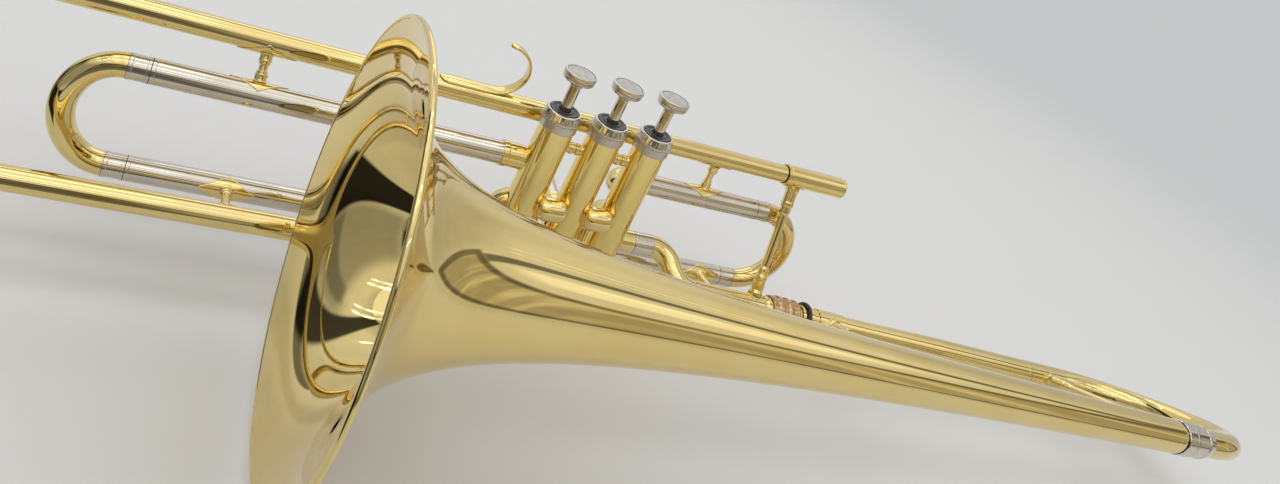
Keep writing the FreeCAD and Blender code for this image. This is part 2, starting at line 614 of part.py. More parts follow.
rim = Part.makeTorus(BELL_RIM_R - RIM_BEAD_R, RIM_BEAD_R, axis_start, X_AXIS).cut(bell)
nodes["bell_rim"] = in_section(largest(rim))

# Ferrule on the bell's tail, bored as a guide for the tuning slide's leg.
tail_r = bell_radius(BELL_LENGTH)
ferrule_front = BELL_LENGTH - TAIL_FERRULE_LAP
ferrule_rear = ferrule_front + TAIL_FERRULE_LENGTH
ferrule_r = tail_r + FERRULE_WALL
tail_ferrule = rod(bell_axis_point(ferrule_front), bell_axis_point(ferrule_rear), ferrule_r)
tail_ferrule = tail_ferrule.cut(rod(bell_axis_point(ferrule_front - 1), bell_axis_point(BELL_LENGTH),
                                    tail_r))
tail_ferrule = tail_ferrule.cut(bell).cut(
    rod(bell_axis_point(BELL_LENGTH - 1), bell_axis_point(ferrule_rear + 1),
        TUNING_LEG_R + TUNING_CLEARANCE))
nodes["bell_ferrule"] = in_section(largest(tail_ferrule))

# Main tuning slide: nickel legs, brass bow and its brace.
slide_face = ferrule_rear + SLIDE_GAP
slide_rear = slide_face + TUNING_FERRULE_LENGTH
bow_seat = slide_rear - 7.0
bow_front = vec(TUNING_JOINT_STATION - SLIDE_GAP, 0, 0)
bow_near = vec(TUNING_ARC_STATION, 0, 0)
bow_far = vec(TUNING_ARC_STATION, BELL_OFFSET_Y, BELL_OFFSET_Z)
bow_crown = (bow_near + bow_far) * 0.5 - X_AXIS * (BELL_OFFSET / 2)
tuning_wire = Part.Wire([Part.makeLine(bow_front, bow_near),
                         Part.Arc(bow_near, bow_crown, bow_far).toShape(),
                         Part.makeLine(bow_far, bell_axis_point(bow_seat))])
tuning_bore_r = TUNING_BOW_R - TUNING_BOW_WALL
tuning_bow = pipe(tuning_wire, TUNING_BOW_R, tuning_bore_r)
nodes["tuning_bow"] = in_section(tuning_bow)
near_end = TUNING_JOINT_STATION - 14
near_leg = turned(vec(0, 0, 0), X_AXIS, [
    (near_end, tuning_bore_r), (TUNING_JOINT_STATION - SLIDE_GAP, tuning_bore_r),
    (TUNING_JOINT_STATION - SLIDE_GAP, NEAR_LEG_R), (TUNING_JOINT_STATION + NEAR_LEG_LENGTH, NEAR_LEG_R)])
near_leg = near_leg.cut(rod(vec(near_end - 1, 0, 0), vec(TUNING_JOINT_STATION + NEAR_LEG_LENGTH + 1, 0, 0),
                            NEAR_LEG_R - NEAR_LEG_WALL))
far_leg = turned(bell_axis_point(0), X_AXIS * -1, [
    (slide_face - TUNING_LEG_LENGTH, TUNING_LEG_R), (slide_face, TUNING_LEG_R),
    (slide_face, ferrule_r - 0.2), (slide_rear - 8, ferrule_r - 0.4), (slide_rear, TUNING_BOW_R + 0.4)])
far_leg = far_leg.cut(rod(bell_axis_point(slide_face - TUNING_LEG_LENGTH - 1),
                          bell_axis_point(bow_seat + 1), TUNING_LEG_R - FERRULE_WALL))
far_leg = far_leg.cut(rod(bell_axis_point(bow_seat), bell_axis_point(slide_rear + 1), TUNING_BOW_R))
nodes["tuning_legs"] = in_section(Part.makeCompound([near_leg, far_leg]))

tuning_brace = brace(vec(TUNING_BRACE_STATION, 0, 0), X_AXIS, TUNING_BOW_R,
                     vec(TUNING_BRACE_STATION, BELL_OFFSET_Y, BELL_OFFSET_Z), X_AXIS, ferrule_r - 0.2,
                     TUNING_BRACE, SMALL_FLANGE)
nodes["tuning_brace"] = in_section(largest(tuning_brace.cut(tuning_bow).cut(far_leg)))

# Bell brace: a nickel rod in two brass sockets, from the gooseneck's sleeve to the horn.
SOCKET_REACH = 17.5
SOCKET_BURY = 12.0
brace_near = vec(BRACE_STATION, 0, 0)
brace_far = vec(BRACE_STATION, BELL_OFFSET_Y, BELL_OFFSET_Z)
horn_r = bell_radius(BELL_RIM_STATION - BRACE_STATION)
near_socket = turned(brace_near, ACROSS, [
    (BRACE_SLEEVE_R - 0.5, 4.6), (BRACE_SLEEVE_R + 1.1, 4.6), (BRACE_SLEEVE_R + 1.5, 3.9),
    (BRACE_SLEEVE_R + SOCKET_REACH, 3.9)])
far_socket = turned(brace_far, ACROSS * -1, [
    (horn_r - 1, 4.6), (horn_r + 1.4, 4.6), (horn_r + 1.8, 3.9), (horn_r + SOCKET_REACH, 3.9)])
brace_rod = rod(brace_near + ACROSS * (BRACE_SLEEVE_R + SOCKET_REACH - SOCKET_BURY),
                brace_far - ACROSS * (horn_r + SOCKET_REACH - SOCKET_BURY), BRACE_ROD_R)
near_foot = saddle(brace_near, X_AXIS, BRACE_SLEEVE_R, ACROSS, 11.0, 7.5)
far_foot = saddle(brace_far, X_AXIS, horn_r - 1.5, ACROSS * -1, 11.0, 7.5, 2.8)
sleeve_body = rod(brace_near - X_AXIS * 20, brace_near + X_AXIS * 20, BRACE_SLEEVE_R)
near_socket_end = fused(near_socket.cut(sleeve_body), near_foot)
far_socket_end = largest(fused(far_socket, far_foot).cut(horn_body))
nodes["bell_brace_sockets"] = in_section(
    Part.makeCompound([near_socket_end.cut(brace_rod), far_socket_end.cut(brace_rod)]))
nodes["bell_brace_rod"] = in_section(brace_rod)

# Valve tops, pistons and springs
CAP_TOP_Z = CASING_TOP_Z + 7.2
FELT_SEAT_Z = CAP_TOP_Z - 1.2
PASSAGES_Z = (PISTON_TOP_Z - UPPER_PASSAGE_DEPTH, PISTON_TOP_Z - LOWER_PASSAGE_DEPTH)
SLANT_Z = (PISTON_TOP_Z - SLANT_PASSAGE_DEPTHS[0], PISTON_TOP_Z - SLANT_PASSAGE_DEPTHS[1])


def top_cap(x):
    """Nickel cap: skirt over the casing, sloping ring and a floor with the stem's hole."""
    z = CASING_TOP_Z
    cap = turned(vec(x, VALVE_Y, 0), Z_AXIS, [
        (z - 4.5, CASING_R + 0.4), (z - 3.8, CASING_R + 0.7), (z + 0.6, CASING_R + 0.7),
        (z + 1.0, CASING_R + 0.3), (z + 1.4, CASING_R + 1.0), (z + 2.4, CASING_R + 1.1),
        (CAP_TOP_Z - 0.4, FELT_R + 1.3), (CAP_TOP_Z, FELT_R + 0.9)])
    cap = cap.cut(rod(vec(x, VALVE_Y, z - 5), vec(x, VALVE_Y, z), CASING_R))
    cap = cap.cut(rod(vec(x, VALVE_Y, z - 1), vec(x, VALVE_Y, FELT_SEAT_Z - CAP_SEAT_THICK), FELT_R - 0.1))
    cap = cap.cut(rod(vec(x, VALVE_Y, FELT_SEAT_Z), vec(x, VALVE_Y, CAP_TOP_Z + 1), FELT_R))
    return cap.cut(rod(vec(x, VALVE_Y, z - 5), vec(x, VALVE_Y, CAP_TOP_Z + 1), STEM_R + STEM_CLEARANCE))


def piston(x):
    """Piston with three air passages and a pocket for the spring."""
    body = rod(vec(x, VALVE_Y, PISTON_BOTTOM_Z), vec(x, VALVE_Y, PISTON_TOP_Z), PISTON_R)
    reach = PISTON_R + 5
    body = body.cut(rod(vec(x - reach, VALVE_Y, PASSAGES_Z[0]), vec(x + reach, VALVE_Y, PASSAGES_Z[0]),
                        PISTON_PASSAGE_R))
    body = body.cut(rod(vec(x - reach, VALVE_Y, SLANT_Z[0]), vec(x + reach, VALVE_Y, SLANT_Z[1]),
                        PISTON_PASSAGE_R))
    body = body.cut(rod(vec(x, VALVE_Y - reach, PASSAGES_Z[1]), vec(x, VALVE_Y + reach, PASSAGES_Z[1]),
                        PISTON_PASSAGE_R))
    return body.cut(rod(vec(x, VALVE_Y, PISTON_BOTTOM_Z - 1),
                        vec(x, VALVE_Y, PISTON_BOTTOM_Z + SPRING_POCKET_DEPTH), SPRING_POCKET_R))


def button(x):
    """Finger button and its stem, with a recess for the inlay."""
    z = BUTTON_TOP_Z
    shape = turned(vec(x, VALVE_Y, 0), Z_AXIS, [
        (PISTON_TOP_Z, STEM_R + 1.3), (PISTON_TOP_Z + 2.0, STEM_R + 1.3), (PISTON_TOP_Z + 2.1, STEM_R),
        (z - 6.8, STEM_R), (z - 5.8, STEM_R + 1.3), (z - 5.4, BUTTON_R - 1.1), (z - 4.6, BUTTON_R - 0.2),
        (z - 3.8, BUTTON_R - 0.5), (z - 3.2, BUTTON_R), (z - 1.0, BUTTON_R), (z - 0.2, BUTTON_R - 0.3),
        (z, BUTTON_R - 0.8)])
    return shape.cut(rod(vec(x, VALVE_Y, z - INLAY_THICK - 0.3), vec(x, VALVE_Y, z + 1), BUTTON_DISH_R))


def coil(x):
    """Open compression spring under a piston, of round wire."""
    low = CASING_BOTTOM_Z + BOTTOM_CAP_FLOOR + SPRING_WIRE_R
    high = PISTON_BOTTOM_Z + SPRING_POCKET_DEPTH - SPRING_WIRE_R
    helix = Part.makeHelix((high - low) / SPRING_TURNS, high - low, SPRING_MEAN_R)
    helix.translate(vec(x, VALVE_Y, low))
    profile = Part.Wire([Part.makeCircle(SPRING_WIRE_R, vec(x + SPRING_MEAN_R, VALVE_Y, low), Y_AXIS)])
    return Part.Wire(helix).makePipeShell([profile], True, True)


def bottom_cap(x):
    """Screwed cap under a casing, with a floor for the spring and a vent."""
    z = CASING_BOTTOM_Z
    cap = turned(vec(x, VALVE_Y, 0), Z_AXIS, [
        (z - 4.0, BOTTOM_CAP_R - 4.8), (z - 3.4, BOTTOM_CAP_R - 2.8), (z - 2.6, BOTTOM_CAP_R - 0.5),
        (z - 2.0, BOTTOM_CAP_R), (z + 5.0, BOTTOM_CAP_R), (z + 5.4, BOTTOM_CAP_R - 0.4)])
    cap = cap.cut(rod(vec(x, VALVE_Y, z), vec(x, VALVE_Y, z + 9), CASING_R))
    cap = cap.fuse(rod(vec(x, VALVE_Y, z), vec(x, VALVE_Y, z + BOTTOM_CAP_FLOOR), CASING_BORE_R))
    return cap.cut(rod(vec(x, VALVE_Y, z - 5), vec(x, VALVE_Y, z + 2), BOTTOM_CAP_VENT_R))


for number in VALVES:
    x = VALVE_X[number]
    inlay_z = BUTTON_TOP_Z - INLAY_THICK - 0.3
    nodes["top_cap_%d" % number] = top_cap(x)
    nodes["piston_%d" % number] = piston(x)
    nodes["button_%d" % number] = button(x)
    nodes["button_inlay_%d" % number] = rod(vec(x, VALVE_Y, inlay_z), vec(x, VALVE_Y, inlay_z + INLAY_THICK),
                                            BUTTON_DISH_R)
    nodes["valve_spring_%d" % number] = coil(x)
nodes["cap_felts"] = Part.makeCompound([
    sleeve(vec(VALVE_X[n], VALVE_Y, FELT_SEAT_Z), vec(VALVE_X[n], VALVE_Y, FELT_SEAT_Z + FELT_THICK),
           FELT_R, STEM_R + STEM_CLEARANCE)
    for n in VALVES])
nodes["bottom_caps"] = Part.makeCompound([bottom_cap(VALVE_X[n]) for n in VALVES])


# Valve slides
def slide(first, second, heading, mouth, bow, depth, inner_length):
    """Inner legs with their ferrules, and the bow: first and second are points on the two legs.

    mouth and bow are distances along heading from those points; the legs reach back
    from the mouth by their inner length."""
    legs = []
    leg_end = mouth - inner_length
    for point in (first, second):
        outline = [(leg_end, INNER_LEG_R), (mouth + SLIDE_GAP, INNER_LEG_R),
                   (mouth + SLIDE_GAP, LEG_R), (bow, LEG_R)]
        leg = turned(point, heading, outline)
        legs.append(leg.cut(rod(point + heading * (leg_end - 1), point + heading * (bow + 1),
                                INNER_LEG_R - INNER_LEG_WALL)))
    wire = bow_wire(first + heading * bow, second + heading * bow, heading, depth)
    return Part.makeCompound(legs), pipe(wire, BOW_R, BOW_R - BOW_WALL)


def outer_leg(start, end):
    """Fixed nickel leg that a slide runs in."""
    return sleeve(start, end, LEG_R, LEG_R - LEG_WALL)


LEG_BURY = SEAT_LENGTH - 0.5
top_3 = vec(0, SLIDE_3_Y, SLIDE_3_Z[0])
low_3 = vec(0, SLIDE_3_Y, SLIDE_3_Z[1])
nodes["slide_3_outer_legs"] = Part.makeCompound([
    outer_leg(top_3 + X_AXIS * (STUB_3_UPPER_X - LEG_BURY), top_3 + X_AXIS * SLIDE_3_MOUTH_X),
    outer_leg(low_3 + X_AXIS * (STUB_3_LOWER_X - LEG_BURY), low_3 + X_AXIS * SLIDE_3_MOUTH_X)])
nodes["slide_3_inner_legs"], nodes["slide_3_bow"] = slide(
    top_3, low_3, X_AXIS, SLIDE_3_MOUTH_X, SLIDE_3_BOW_X, SLIDE_3_BOW_DEPTH, SLIDE_3_INNER_LENGTH)

top_1 = vec(0, SLIDE_1_Y, SLIDE_1_Z[0])
low_1 = vec(0, SLIDE_1_Y, SLIDE_1_Z[1])
nodes["slide_1_outer_legs"] = Part.makeCompound([
    outer_leg(top_1 + X_AXIS * SLIDE_1_MOUTH_X, top_1 + X_AXIS * (STUB_1_UPPER_X + LEG_BURY)),
    outer_leg(low_1 + X_AXIS * SLIDE_1_MOUTH_X, low_1 + X_AXIS * (STUB_1_LOWER_X + LEG_BURY))])
nodes["slide_1_inner_legs"], nodes["slide_1_bow"] = slide(
    top_1, low_1, X_AXIS * -1, -SLIDE_1_MOUTH_X, -SLIDE_1_BOW_X, SLIDE_1_BOW_DEPTH, SLIDE_1_INNER_LENGTH)

top_2 = vec(SLIDE_2_X, 0, SLIDE_2_Z[0])
low_2 = vec(SLIDE_2_X, 0, SLIDE_2_Z[1])
nodes["slide_2_outer_legs"] = Part.makeCompound([
    outer_leg(point + Y_AXIS * (STUB_2_Y + 8.0), point + Y_AXIS * SLIDE_2_MOUTH_Y)
    for point in (top_2, low_2)])
nodes["slide_2_inner_legs"], nodes["slide_2_bow"] = slide(
    top_2, low_2, Y_AXIS * -1, -SLIDE_2_MOUTH_Y, -SLIDE_2_BOW_Y, SLIDE_2_BOW_DEPTH, SLIDE_2_INNER_LENGTH)

# Braces with diamond flanges
upper_brace_3 = brace(vec(BRACE_3_X, 0, 0), X_AXIS, leadpipe_radius(BRACE_3_X),
                      vec(BRACE_3_X, SLIDE_3_Y, SLIDE_3_Z[0]), X_AXIS, LEG_R, SMALL_BRACE, FLANGE)
lower_brace_3 = brace(vec(BRACE_3_X, SLIDE_3_Y, SLIDE_3_Z[1]), X_AXIS, LEG_R,
                      vec(BRACE_3_X, RETURN_Y, RETURN_Z), X_AXIS, TUBE_R, SMALL_BRACE, FLANGE)
nodes["slide_3_braces"] = Part.makeCompound([upper_brace_3.cut(nodes["leadpipe"]), lower_brace_3])
upper_brace_1 = brace(vec(BRACE_1_UPPER_X, 0, 0), X_AXIS, leadpipe_radius(BRACE_1_UPPER_X),
                      vec(BRACE_1_UPPER_X, SLIDE_1_Y, SLIDE_1_Z[0]), X_AXIS, LEG_R, SMALL_BRACE, FLANGE)
lower_station = (BRACE_1_LOWER_X - LOCK_X) / SECTION_LINE.x
lower_brace_1 = brace(vec(BRACE_1_LOWER_X, SLIDE_1_Y, SLIDE_1_Z[1]), X_AXIS, LEG_R,
                      section_point(lower_station), SECTION_LINE, LOWER_RECEIVER_R, SMALL_BRACE, FLANGE)
nodes["slide_1_braces"] = Part.makeCompound([upper_brace_1.cut(nodes["leadpipe"]), lower_brace_1])
grip_brace = brace(vec(GRIP_X, 0, 0), X_AXIS, RECEIVER_R, section_point(GRIP_STATION), SECTION_LINE,
                   LOWER_RECEIVER_R, GRIP_BRACE, SMALL_FLANGE)
nodes["grip_brace"] = largest(grip_brace.cut(nodes["lower_receiver"]))

# Finger hook: a strip on the mouthpipe that curls up and forward.
hook_top_z = TUBE_R + HOOK_SADDLE
hook_low_z = TUBE_R - 1.8
plate = Part.makeBox(HOOK_FRONT_X - HOOK_REAR_X, HOOK_WIDTH, hook_top_z - hook_low_z,
                     vec(HOOK_REAR_X, -HOOK_WIDTH / 2, hook_low_z))
nose = Part.makeCylinder(HOOK_WIDTH / 2, hook_top_z - hook_low_z, vec(HOOK_FRONT_X, 0, hook_low_z), Z_AXIS)
curl_centre = vec(HOOK_REAR_X, -HOOK_WIDTH / 2, hook_top_z + HOOK_R - HOOK_THICK)
curl = sleeve(curl_centre, curl_centre + Y_AXIS * HOOK_WIDTH, HOOK_R, HOOK_R - HOOK_THICK)
keep = Part.makeBox(HOOK_R + 2, HOOK_WIDTH + 2, 2 * HOOK_R + 2,
                    curl_centre + vec(-HOOK_R - 1, -1, -HOOK_R - 1))
hook = fused(plate, nose, curl.common(keep))
nodes["finger_hook"] = hook.cut(turned(vec(0, 0, 0), X_AXIS, [
    (RECEIVER_LENGTH, LEADPIPE_REAR_R), (LEADPIPE_TAPER_END_X, TUBE_R)]))

# Water key on the front bow's crown
key_side = FreeCAD.Vector(front_span.cross(X_AXIS)).normalize()
nodes["water_key_cork"] = rod(seat, seat + X_AXIS * CORK_THICK, CORK_R)
cup_top = seat + X_AXIS * (CORK_THICK + KEY_CUP_THICK)
pivot = cup_top + front_span * KEY_ARM
cup = rod(seat + X_AXIS * CORK_THICK, cup_top, KEY_CUP_R)
arm = rod(cup_top, pivot, KEY_ROD_R)
tail_end = pivot + front_span * KEY_TAIL + X_AXIS * 3.0
tail = rod(pivot, tail_end, KEY_ROD_R)
thumb = rod(tail_end - front_span - X_AXIS, tail_end - front_span + X_AXIS * 0.4, 4.0)
barrel = rod(pivot - key_side * KEY_BARREL_HALF, pivot + key_side * KEY_BARREL_HALF, KEY_BARREL_R)
pin_hole = rod(pivot - key_side * 4, pivot + key_side * 4, KEY_PIN_R + KEY_PIN_CLEARANCE)
nodes["water_key_lever"] = fused(cup, arm, tail, thumb, barrel).cut(pin_hole)
cheeks = []
cheek_in = KEY_BARREL_HALF + KEY_CHEEK_GAP
cheek_out = cheek_in + KEY_CHEEK
for sign in (-1, 1):
    cheek = rod(pivot + key_side * (sign * cheek_in), pivot + key_side * (sign * cheek_out),
                KEY_BARREL_R + 0.2)
    web_depth = pivot.x - front_crown.x + 1.0
    web = Part.makeBox(web_depth, KEY_CHEEK, 2 * KEY_BARREL_R + 0.4)
    web.Placement = FreeCAD.Placement(
        pivot + key_side * (cheek_in if sign > 0 else -cheek_out)
        - front_span * (KEY_BARREL_R + 0.2) - X_AXIS * web_depth,
        FreeCAD.Rotation(X_AXIS, key_side, front_span, "XYZ"))
    cheeks.append(fused(cheek, web))
pin = rod(pivot - key_side * cheek_out, pivot + key_side * cheek_out, KEY_PIN_R)
nodes["water_key_saddle"] = fused(pin, *cheeks).cut(bow_body)

os.makedirs("parts", exist_ok=True)
for name, shape in nodes.items():
    shape.exportStep("parts/%s.step" % name)
    print(name, len(shape.Solids), shape.isValid(), round(shape.Volume, 1))
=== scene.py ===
"""Valve trombone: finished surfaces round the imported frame. Metres, +X forward, +Y left, +Z up."""
import json
import logging
import math
from dataclasses import dataclass
from enum import Enum
from typing import Sequence

import bmesh
import bpy
import numpy as np
from mathutils import Matrix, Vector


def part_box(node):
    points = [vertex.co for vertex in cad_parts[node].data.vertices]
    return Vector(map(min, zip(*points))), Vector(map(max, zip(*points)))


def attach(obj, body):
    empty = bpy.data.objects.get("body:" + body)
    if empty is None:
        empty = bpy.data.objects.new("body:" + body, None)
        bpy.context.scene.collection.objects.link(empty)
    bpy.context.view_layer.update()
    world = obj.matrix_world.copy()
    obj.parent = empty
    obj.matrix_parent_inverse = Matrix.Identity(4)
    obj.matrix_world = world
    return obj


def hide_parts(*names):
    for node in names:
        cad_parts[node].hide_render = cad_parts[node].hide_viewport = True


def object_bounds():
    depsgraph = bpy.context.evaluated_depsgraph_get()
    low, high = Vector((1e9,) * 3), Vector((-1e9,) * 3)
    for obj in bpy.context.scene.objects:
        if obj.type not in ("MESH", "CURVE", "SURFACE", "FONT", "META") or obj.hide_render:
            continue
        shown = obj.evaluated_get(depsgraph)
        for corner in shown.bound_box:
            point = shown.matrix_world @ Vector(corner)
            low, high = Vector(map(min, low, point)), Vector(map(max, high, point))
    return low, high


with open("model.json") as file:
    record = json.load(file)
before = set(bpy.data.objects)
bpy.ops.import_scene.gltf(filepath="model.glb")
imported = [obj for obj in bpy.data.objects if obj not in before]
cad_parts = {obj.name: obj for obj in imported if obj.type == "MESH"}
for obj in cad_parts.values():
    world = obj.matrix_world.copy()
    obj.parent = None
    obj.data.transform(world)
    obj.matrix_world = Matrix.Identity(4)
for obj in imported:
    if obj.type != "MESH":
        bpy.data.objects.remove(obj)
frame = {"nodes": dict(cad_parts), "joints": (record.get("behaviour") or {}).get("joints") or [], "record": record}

Array = np.ndarray
Colour = tuple[float, float, float]
MM = 0.001
FULL_TURN = 2 * math.pi
CAD_BOX = [list(corner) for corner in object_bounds()]
log = logging.getLogger("trombone")


def unit(vector: Sequence[float]) -> Array:
    """Vector scaled to length one."""
    array = np.asarray(vector, float)
    return array / np.linalg.norm(array)


def turned_about(vectors: Array, axis: Array, angle: Array) -> Array:
    """Turn vectors about an axis: v cos a + (k x v) sin a + k (k . v)(1 - cos a).

    Args:
        vectors: one vector or rows of vectors.
        axis: unit vector k.
        angle: one angle or one for each row, in radians.

    Returns:
        Rows of turned vectors.
    """
    v = np.atleast_2d(vectors)
    a = np.atleast_1d(angle)[:, None]
    along = (v @ axis)[:, None] * axis
    return v * np.cos(a) + np.cross(axis, v) * np.sin(a) + along * (1 - np.cos(a))


@dataclass(frozen=True)
class Place:
    """Box of a CAD node at rest."""

    low: Array
    high: Array

    @classmethod
    def of(cls, node: str) -> "Place":
        """Box of the named node."""
        low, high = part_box(node)
        return cls(np.array(low), np.array(high))

    @property
    def centre(self) -> Array:
        """Middle of the box."""
        return (self.low + self.high) / 2

    @property
    def half(self) -> Array:
        """Half the box's size along each axis."""
        return (self.high - self.low) / 2


@dataclass(frozen=True)
class Run:
    """One stretch of a path: a straight line, or an arc where it has a centre and an axis."""

    start: Array
    heading: Array
    side: Array
    length: float
    centre: Array | None = None
    axis: Array | None = None

    def at(self, distance: Array) -> tuple[Array, Array, Array]:
        """Points, headings and sides at distances from the run's start.

        On an arc, all three turn about its axis by distance / radius.

        Args:
            distance: distances along the run.

        Returns:
            Rows of points, headings and sides.
        """
        if self.centre is None:
            count = len(distance)
            return (self.start + distance[:, None] * self.heading,
                    np.repeat(self.heading[None], count, 0), np.repeat(self.side[None], count, 0))
        arm = self.start - self.centre
        angle = distance / np.linalg.norm(arm)
        return (self.centre + turned_about(arm, self.axis, angle),
                turned_about(self.heading, self.axis, angle), turned_about(self.side, self.axis, angle))


class Path:
    """Line through points whose corners are rounded to one bend radius."""

    def __init__(self, points: Sequence[Sequence[float]], bend: float = 0.0,
                 side: Sequence[float] | None = None) -> None:
        """Lay out the runs.

        Args:
            points: the corners, in metres.
            bend: radius of the arcs at the inner corners.
            side: direction that the first ring's first point faces.
        """
        corners = [np.asarray(point, float) for point in points]
        heading = unit(corners[1] - corners[0])
        guess = np.asarray(side if side is not None else (0.0, 0.0, 1.0), float)
        if abs(unit(guess) @ heading) > 0.95:
            guess = np.array([1.0, 0.0, 0.0])
        facing = unit(guess - (guess @ heading) * heading)
        self.runs: list[Run] = []
        here = corners[0]
        for before, corner, after in zip(corners, corners[1:], corners[2:]):
            back = unit(before - corner)
            ahead = unit(after - corner)
            half = 0.5 * math.acos(float(np.clip(back @ ahead, -1, 1)))
            cut = bend / math.tan(half)
            start = corner + back * cut
            self._straight(here, start, facing)
            axis = unit(np.cross(-back, ahead))
            turn = math.pi - 2 * half
            centre = corner + unit(back + ahead) * (bend / math.sin(half))
            self.runs.append(Run(start, -back, facing, bend * turn, centre, axis))
            facing = turned_about(facing, axis, np.array([turn]))[0]
            here = corner + ahead * cut
        self._straight(here, corners[-1], facing)
        self.starts = np.concatenate([[0.0], np.cumsum([run.length for run in self.runs])])

    def _straight(self, start: Array, end: Array, facing: Array) -> None:
        """Add a straight run if it has any length."""
        length = float(np.linalg.norm(end - start))
        if length > 1e-6:
            self.runs.append(Run(start, unit(end - start), facing, length))

    @property
    def length(self) -> float:
        """Length of the whole path."""
        return float(self.starts[-1])

    def at(self, distance: Array) -> tuple[Array, Array, Array, Array]:
        """Points, headings, sides and ups (heading x side) at distances along the path."""
        distance = np.asarray(distance, float)
        index = np.clip(np.searchsorted(self.starts, distance, "right") - 1, 0, len(self.runs) - 1)
        parts = [np.zeros((len(distance), 3)) for _ in range(3)]
        for number, run in enumerate(self.runs):
            chosen = index == number
            if chosen.any():
                for part, values in zip(parts, run.at(distance[chosen] - self.starts[number])):
                    part[chosen] = values
        point, heading, side = parts
        return point, heading, side, np.cross(heading, side)


class Bow:
    """Centre line of a bow: half an ellipse from one tube end to the other."""

    def __init__(self, first: Array, second: Array, line: Array, depth: float) -> None:
        """Lay out the curve.

        The point at angle a is centre - half cos a + line depth sin a, and its distance along the
        curve is read from a table of 720 short steps.

        Args:
            first: end of the first tube.
            second: end of the second tube.
            line: unit direction in which the bow stands out.
            depth: how far it stands out.
        """
        self.centre, self.half = (first + second) / 2, (second - first) / 2
        self.out = line * depth
        self.normal = unit(np.cross(line, self.half))
        self.angles = np.linspace(0.0, math.pi, 721)
        points = self._curve(self.angles)[0]
        self.lengths = np.concatenate([[0.0], np.cumsum(np.linalg.norm(np.diff(points, axis=0), axis=1))])

    def _curve(self, angle: Array) -> tuple[Array, Array]:
        """Points and unit headings at angles."""
        c, s = np.cos(angle)[:, None], np.sin(angle)[:, None]
        heading = self.half * s + self.out * c
        return (self.centre - self.half * c + self.out * s,
                heading / np.linalg.norm(heading, axis=1, keepdims=True))

    @property
    def length(self) -> float:
        """Length of the curve."""
        return float(self.lengths[-1])

    def at(self, distance: Array) -> tuple[Array, Array, Array, Array]:
        """Points, headings, sides and ups (heading x side) at distances along the curve."""
        point, heading = self._curve(np.interp(distance, self.lengths, self.angles))
        side = np.repeat(self.normal[None], len(point), 0)
        return point, heading, side, np.cross(heading, side)


def soften(corners: Sequence[tuple[float, float]], fillet: float, closed: bool = True,
           steps: int = 3) -> Array:
    """Outline with rounded corners.

    Each corner P becomes the quadratic curve (1-t)^2 A + 2t(1-t) P + t^2 B, where A and B lie one
    fillet before and after it, and one more point outside each of them keeps the flats flat.

    Args:
        corners: (distance, radius) pairs.
        fillet: how far each corner is cut back.
        closed: whether the last corner joins the first.
        steps: how many stretches each curve has.

    Returns:
        Rows of (distance, radius).
    """
    p = np.asarray(corners, float)
    before, after = np.roll(p, 1, 0) - p, np.roll(p, -1, 0) - p
    near = np.linalg.norm(before, axis=1, keepdims=True)
    far = np.linalg.norm(after, axis=1, keepdims=True)
    back, ahead = before / near, after / far
    cut_a, cut_b = np.minimum(fillet, near * 0.38), np.minimum(fillet, far * 0.38)
    a, b = p + back * cut_a, p + ahead * cut_b
    t = np.linspace(0, 1, steps + 1)[None, :, None]
    curve = (1 - t) ** 2 * a[:, None] + 2 * t * (1 - t) * p[:, None] + t ** 2 * b[:, None]
    rows = np.concatenate([(p + back * cut_a * 1.25)[:, None], curve, (p + ahead * cut_b * 1.25)[:, None]],
                          1)
    if closed:
        return rows.reshape(-1, 2)
    return np.concatenate([p[:1], rows[1:-1].reshape(-1, 2), p[-1:]])


def divided(outline: Array, step: float, closed: bool = True) -> Array:
    """Outline with points added so that no edge is longer than a step."""
    starts = outline if closed else outline[:-1]
    ends = np.roll(outline, -1, 0) if closed else outline[1:]
    counts = np.maximum(1, np.ceil(np.linalg.norm(ends - starts, axis=1) / step)).astype(int)
    index = np.repeat(np.arange(len(starts)), counts)
    first = np.repeat(np.cumsum(counts) - counts, counts)
    share = (np.arange(counts.sum()) - first) / counts[index]
    points = starts[index] + (ends - starts)[index] * share[:, None]
    return points if closed else np.concatenate([points, outline[-1:]])


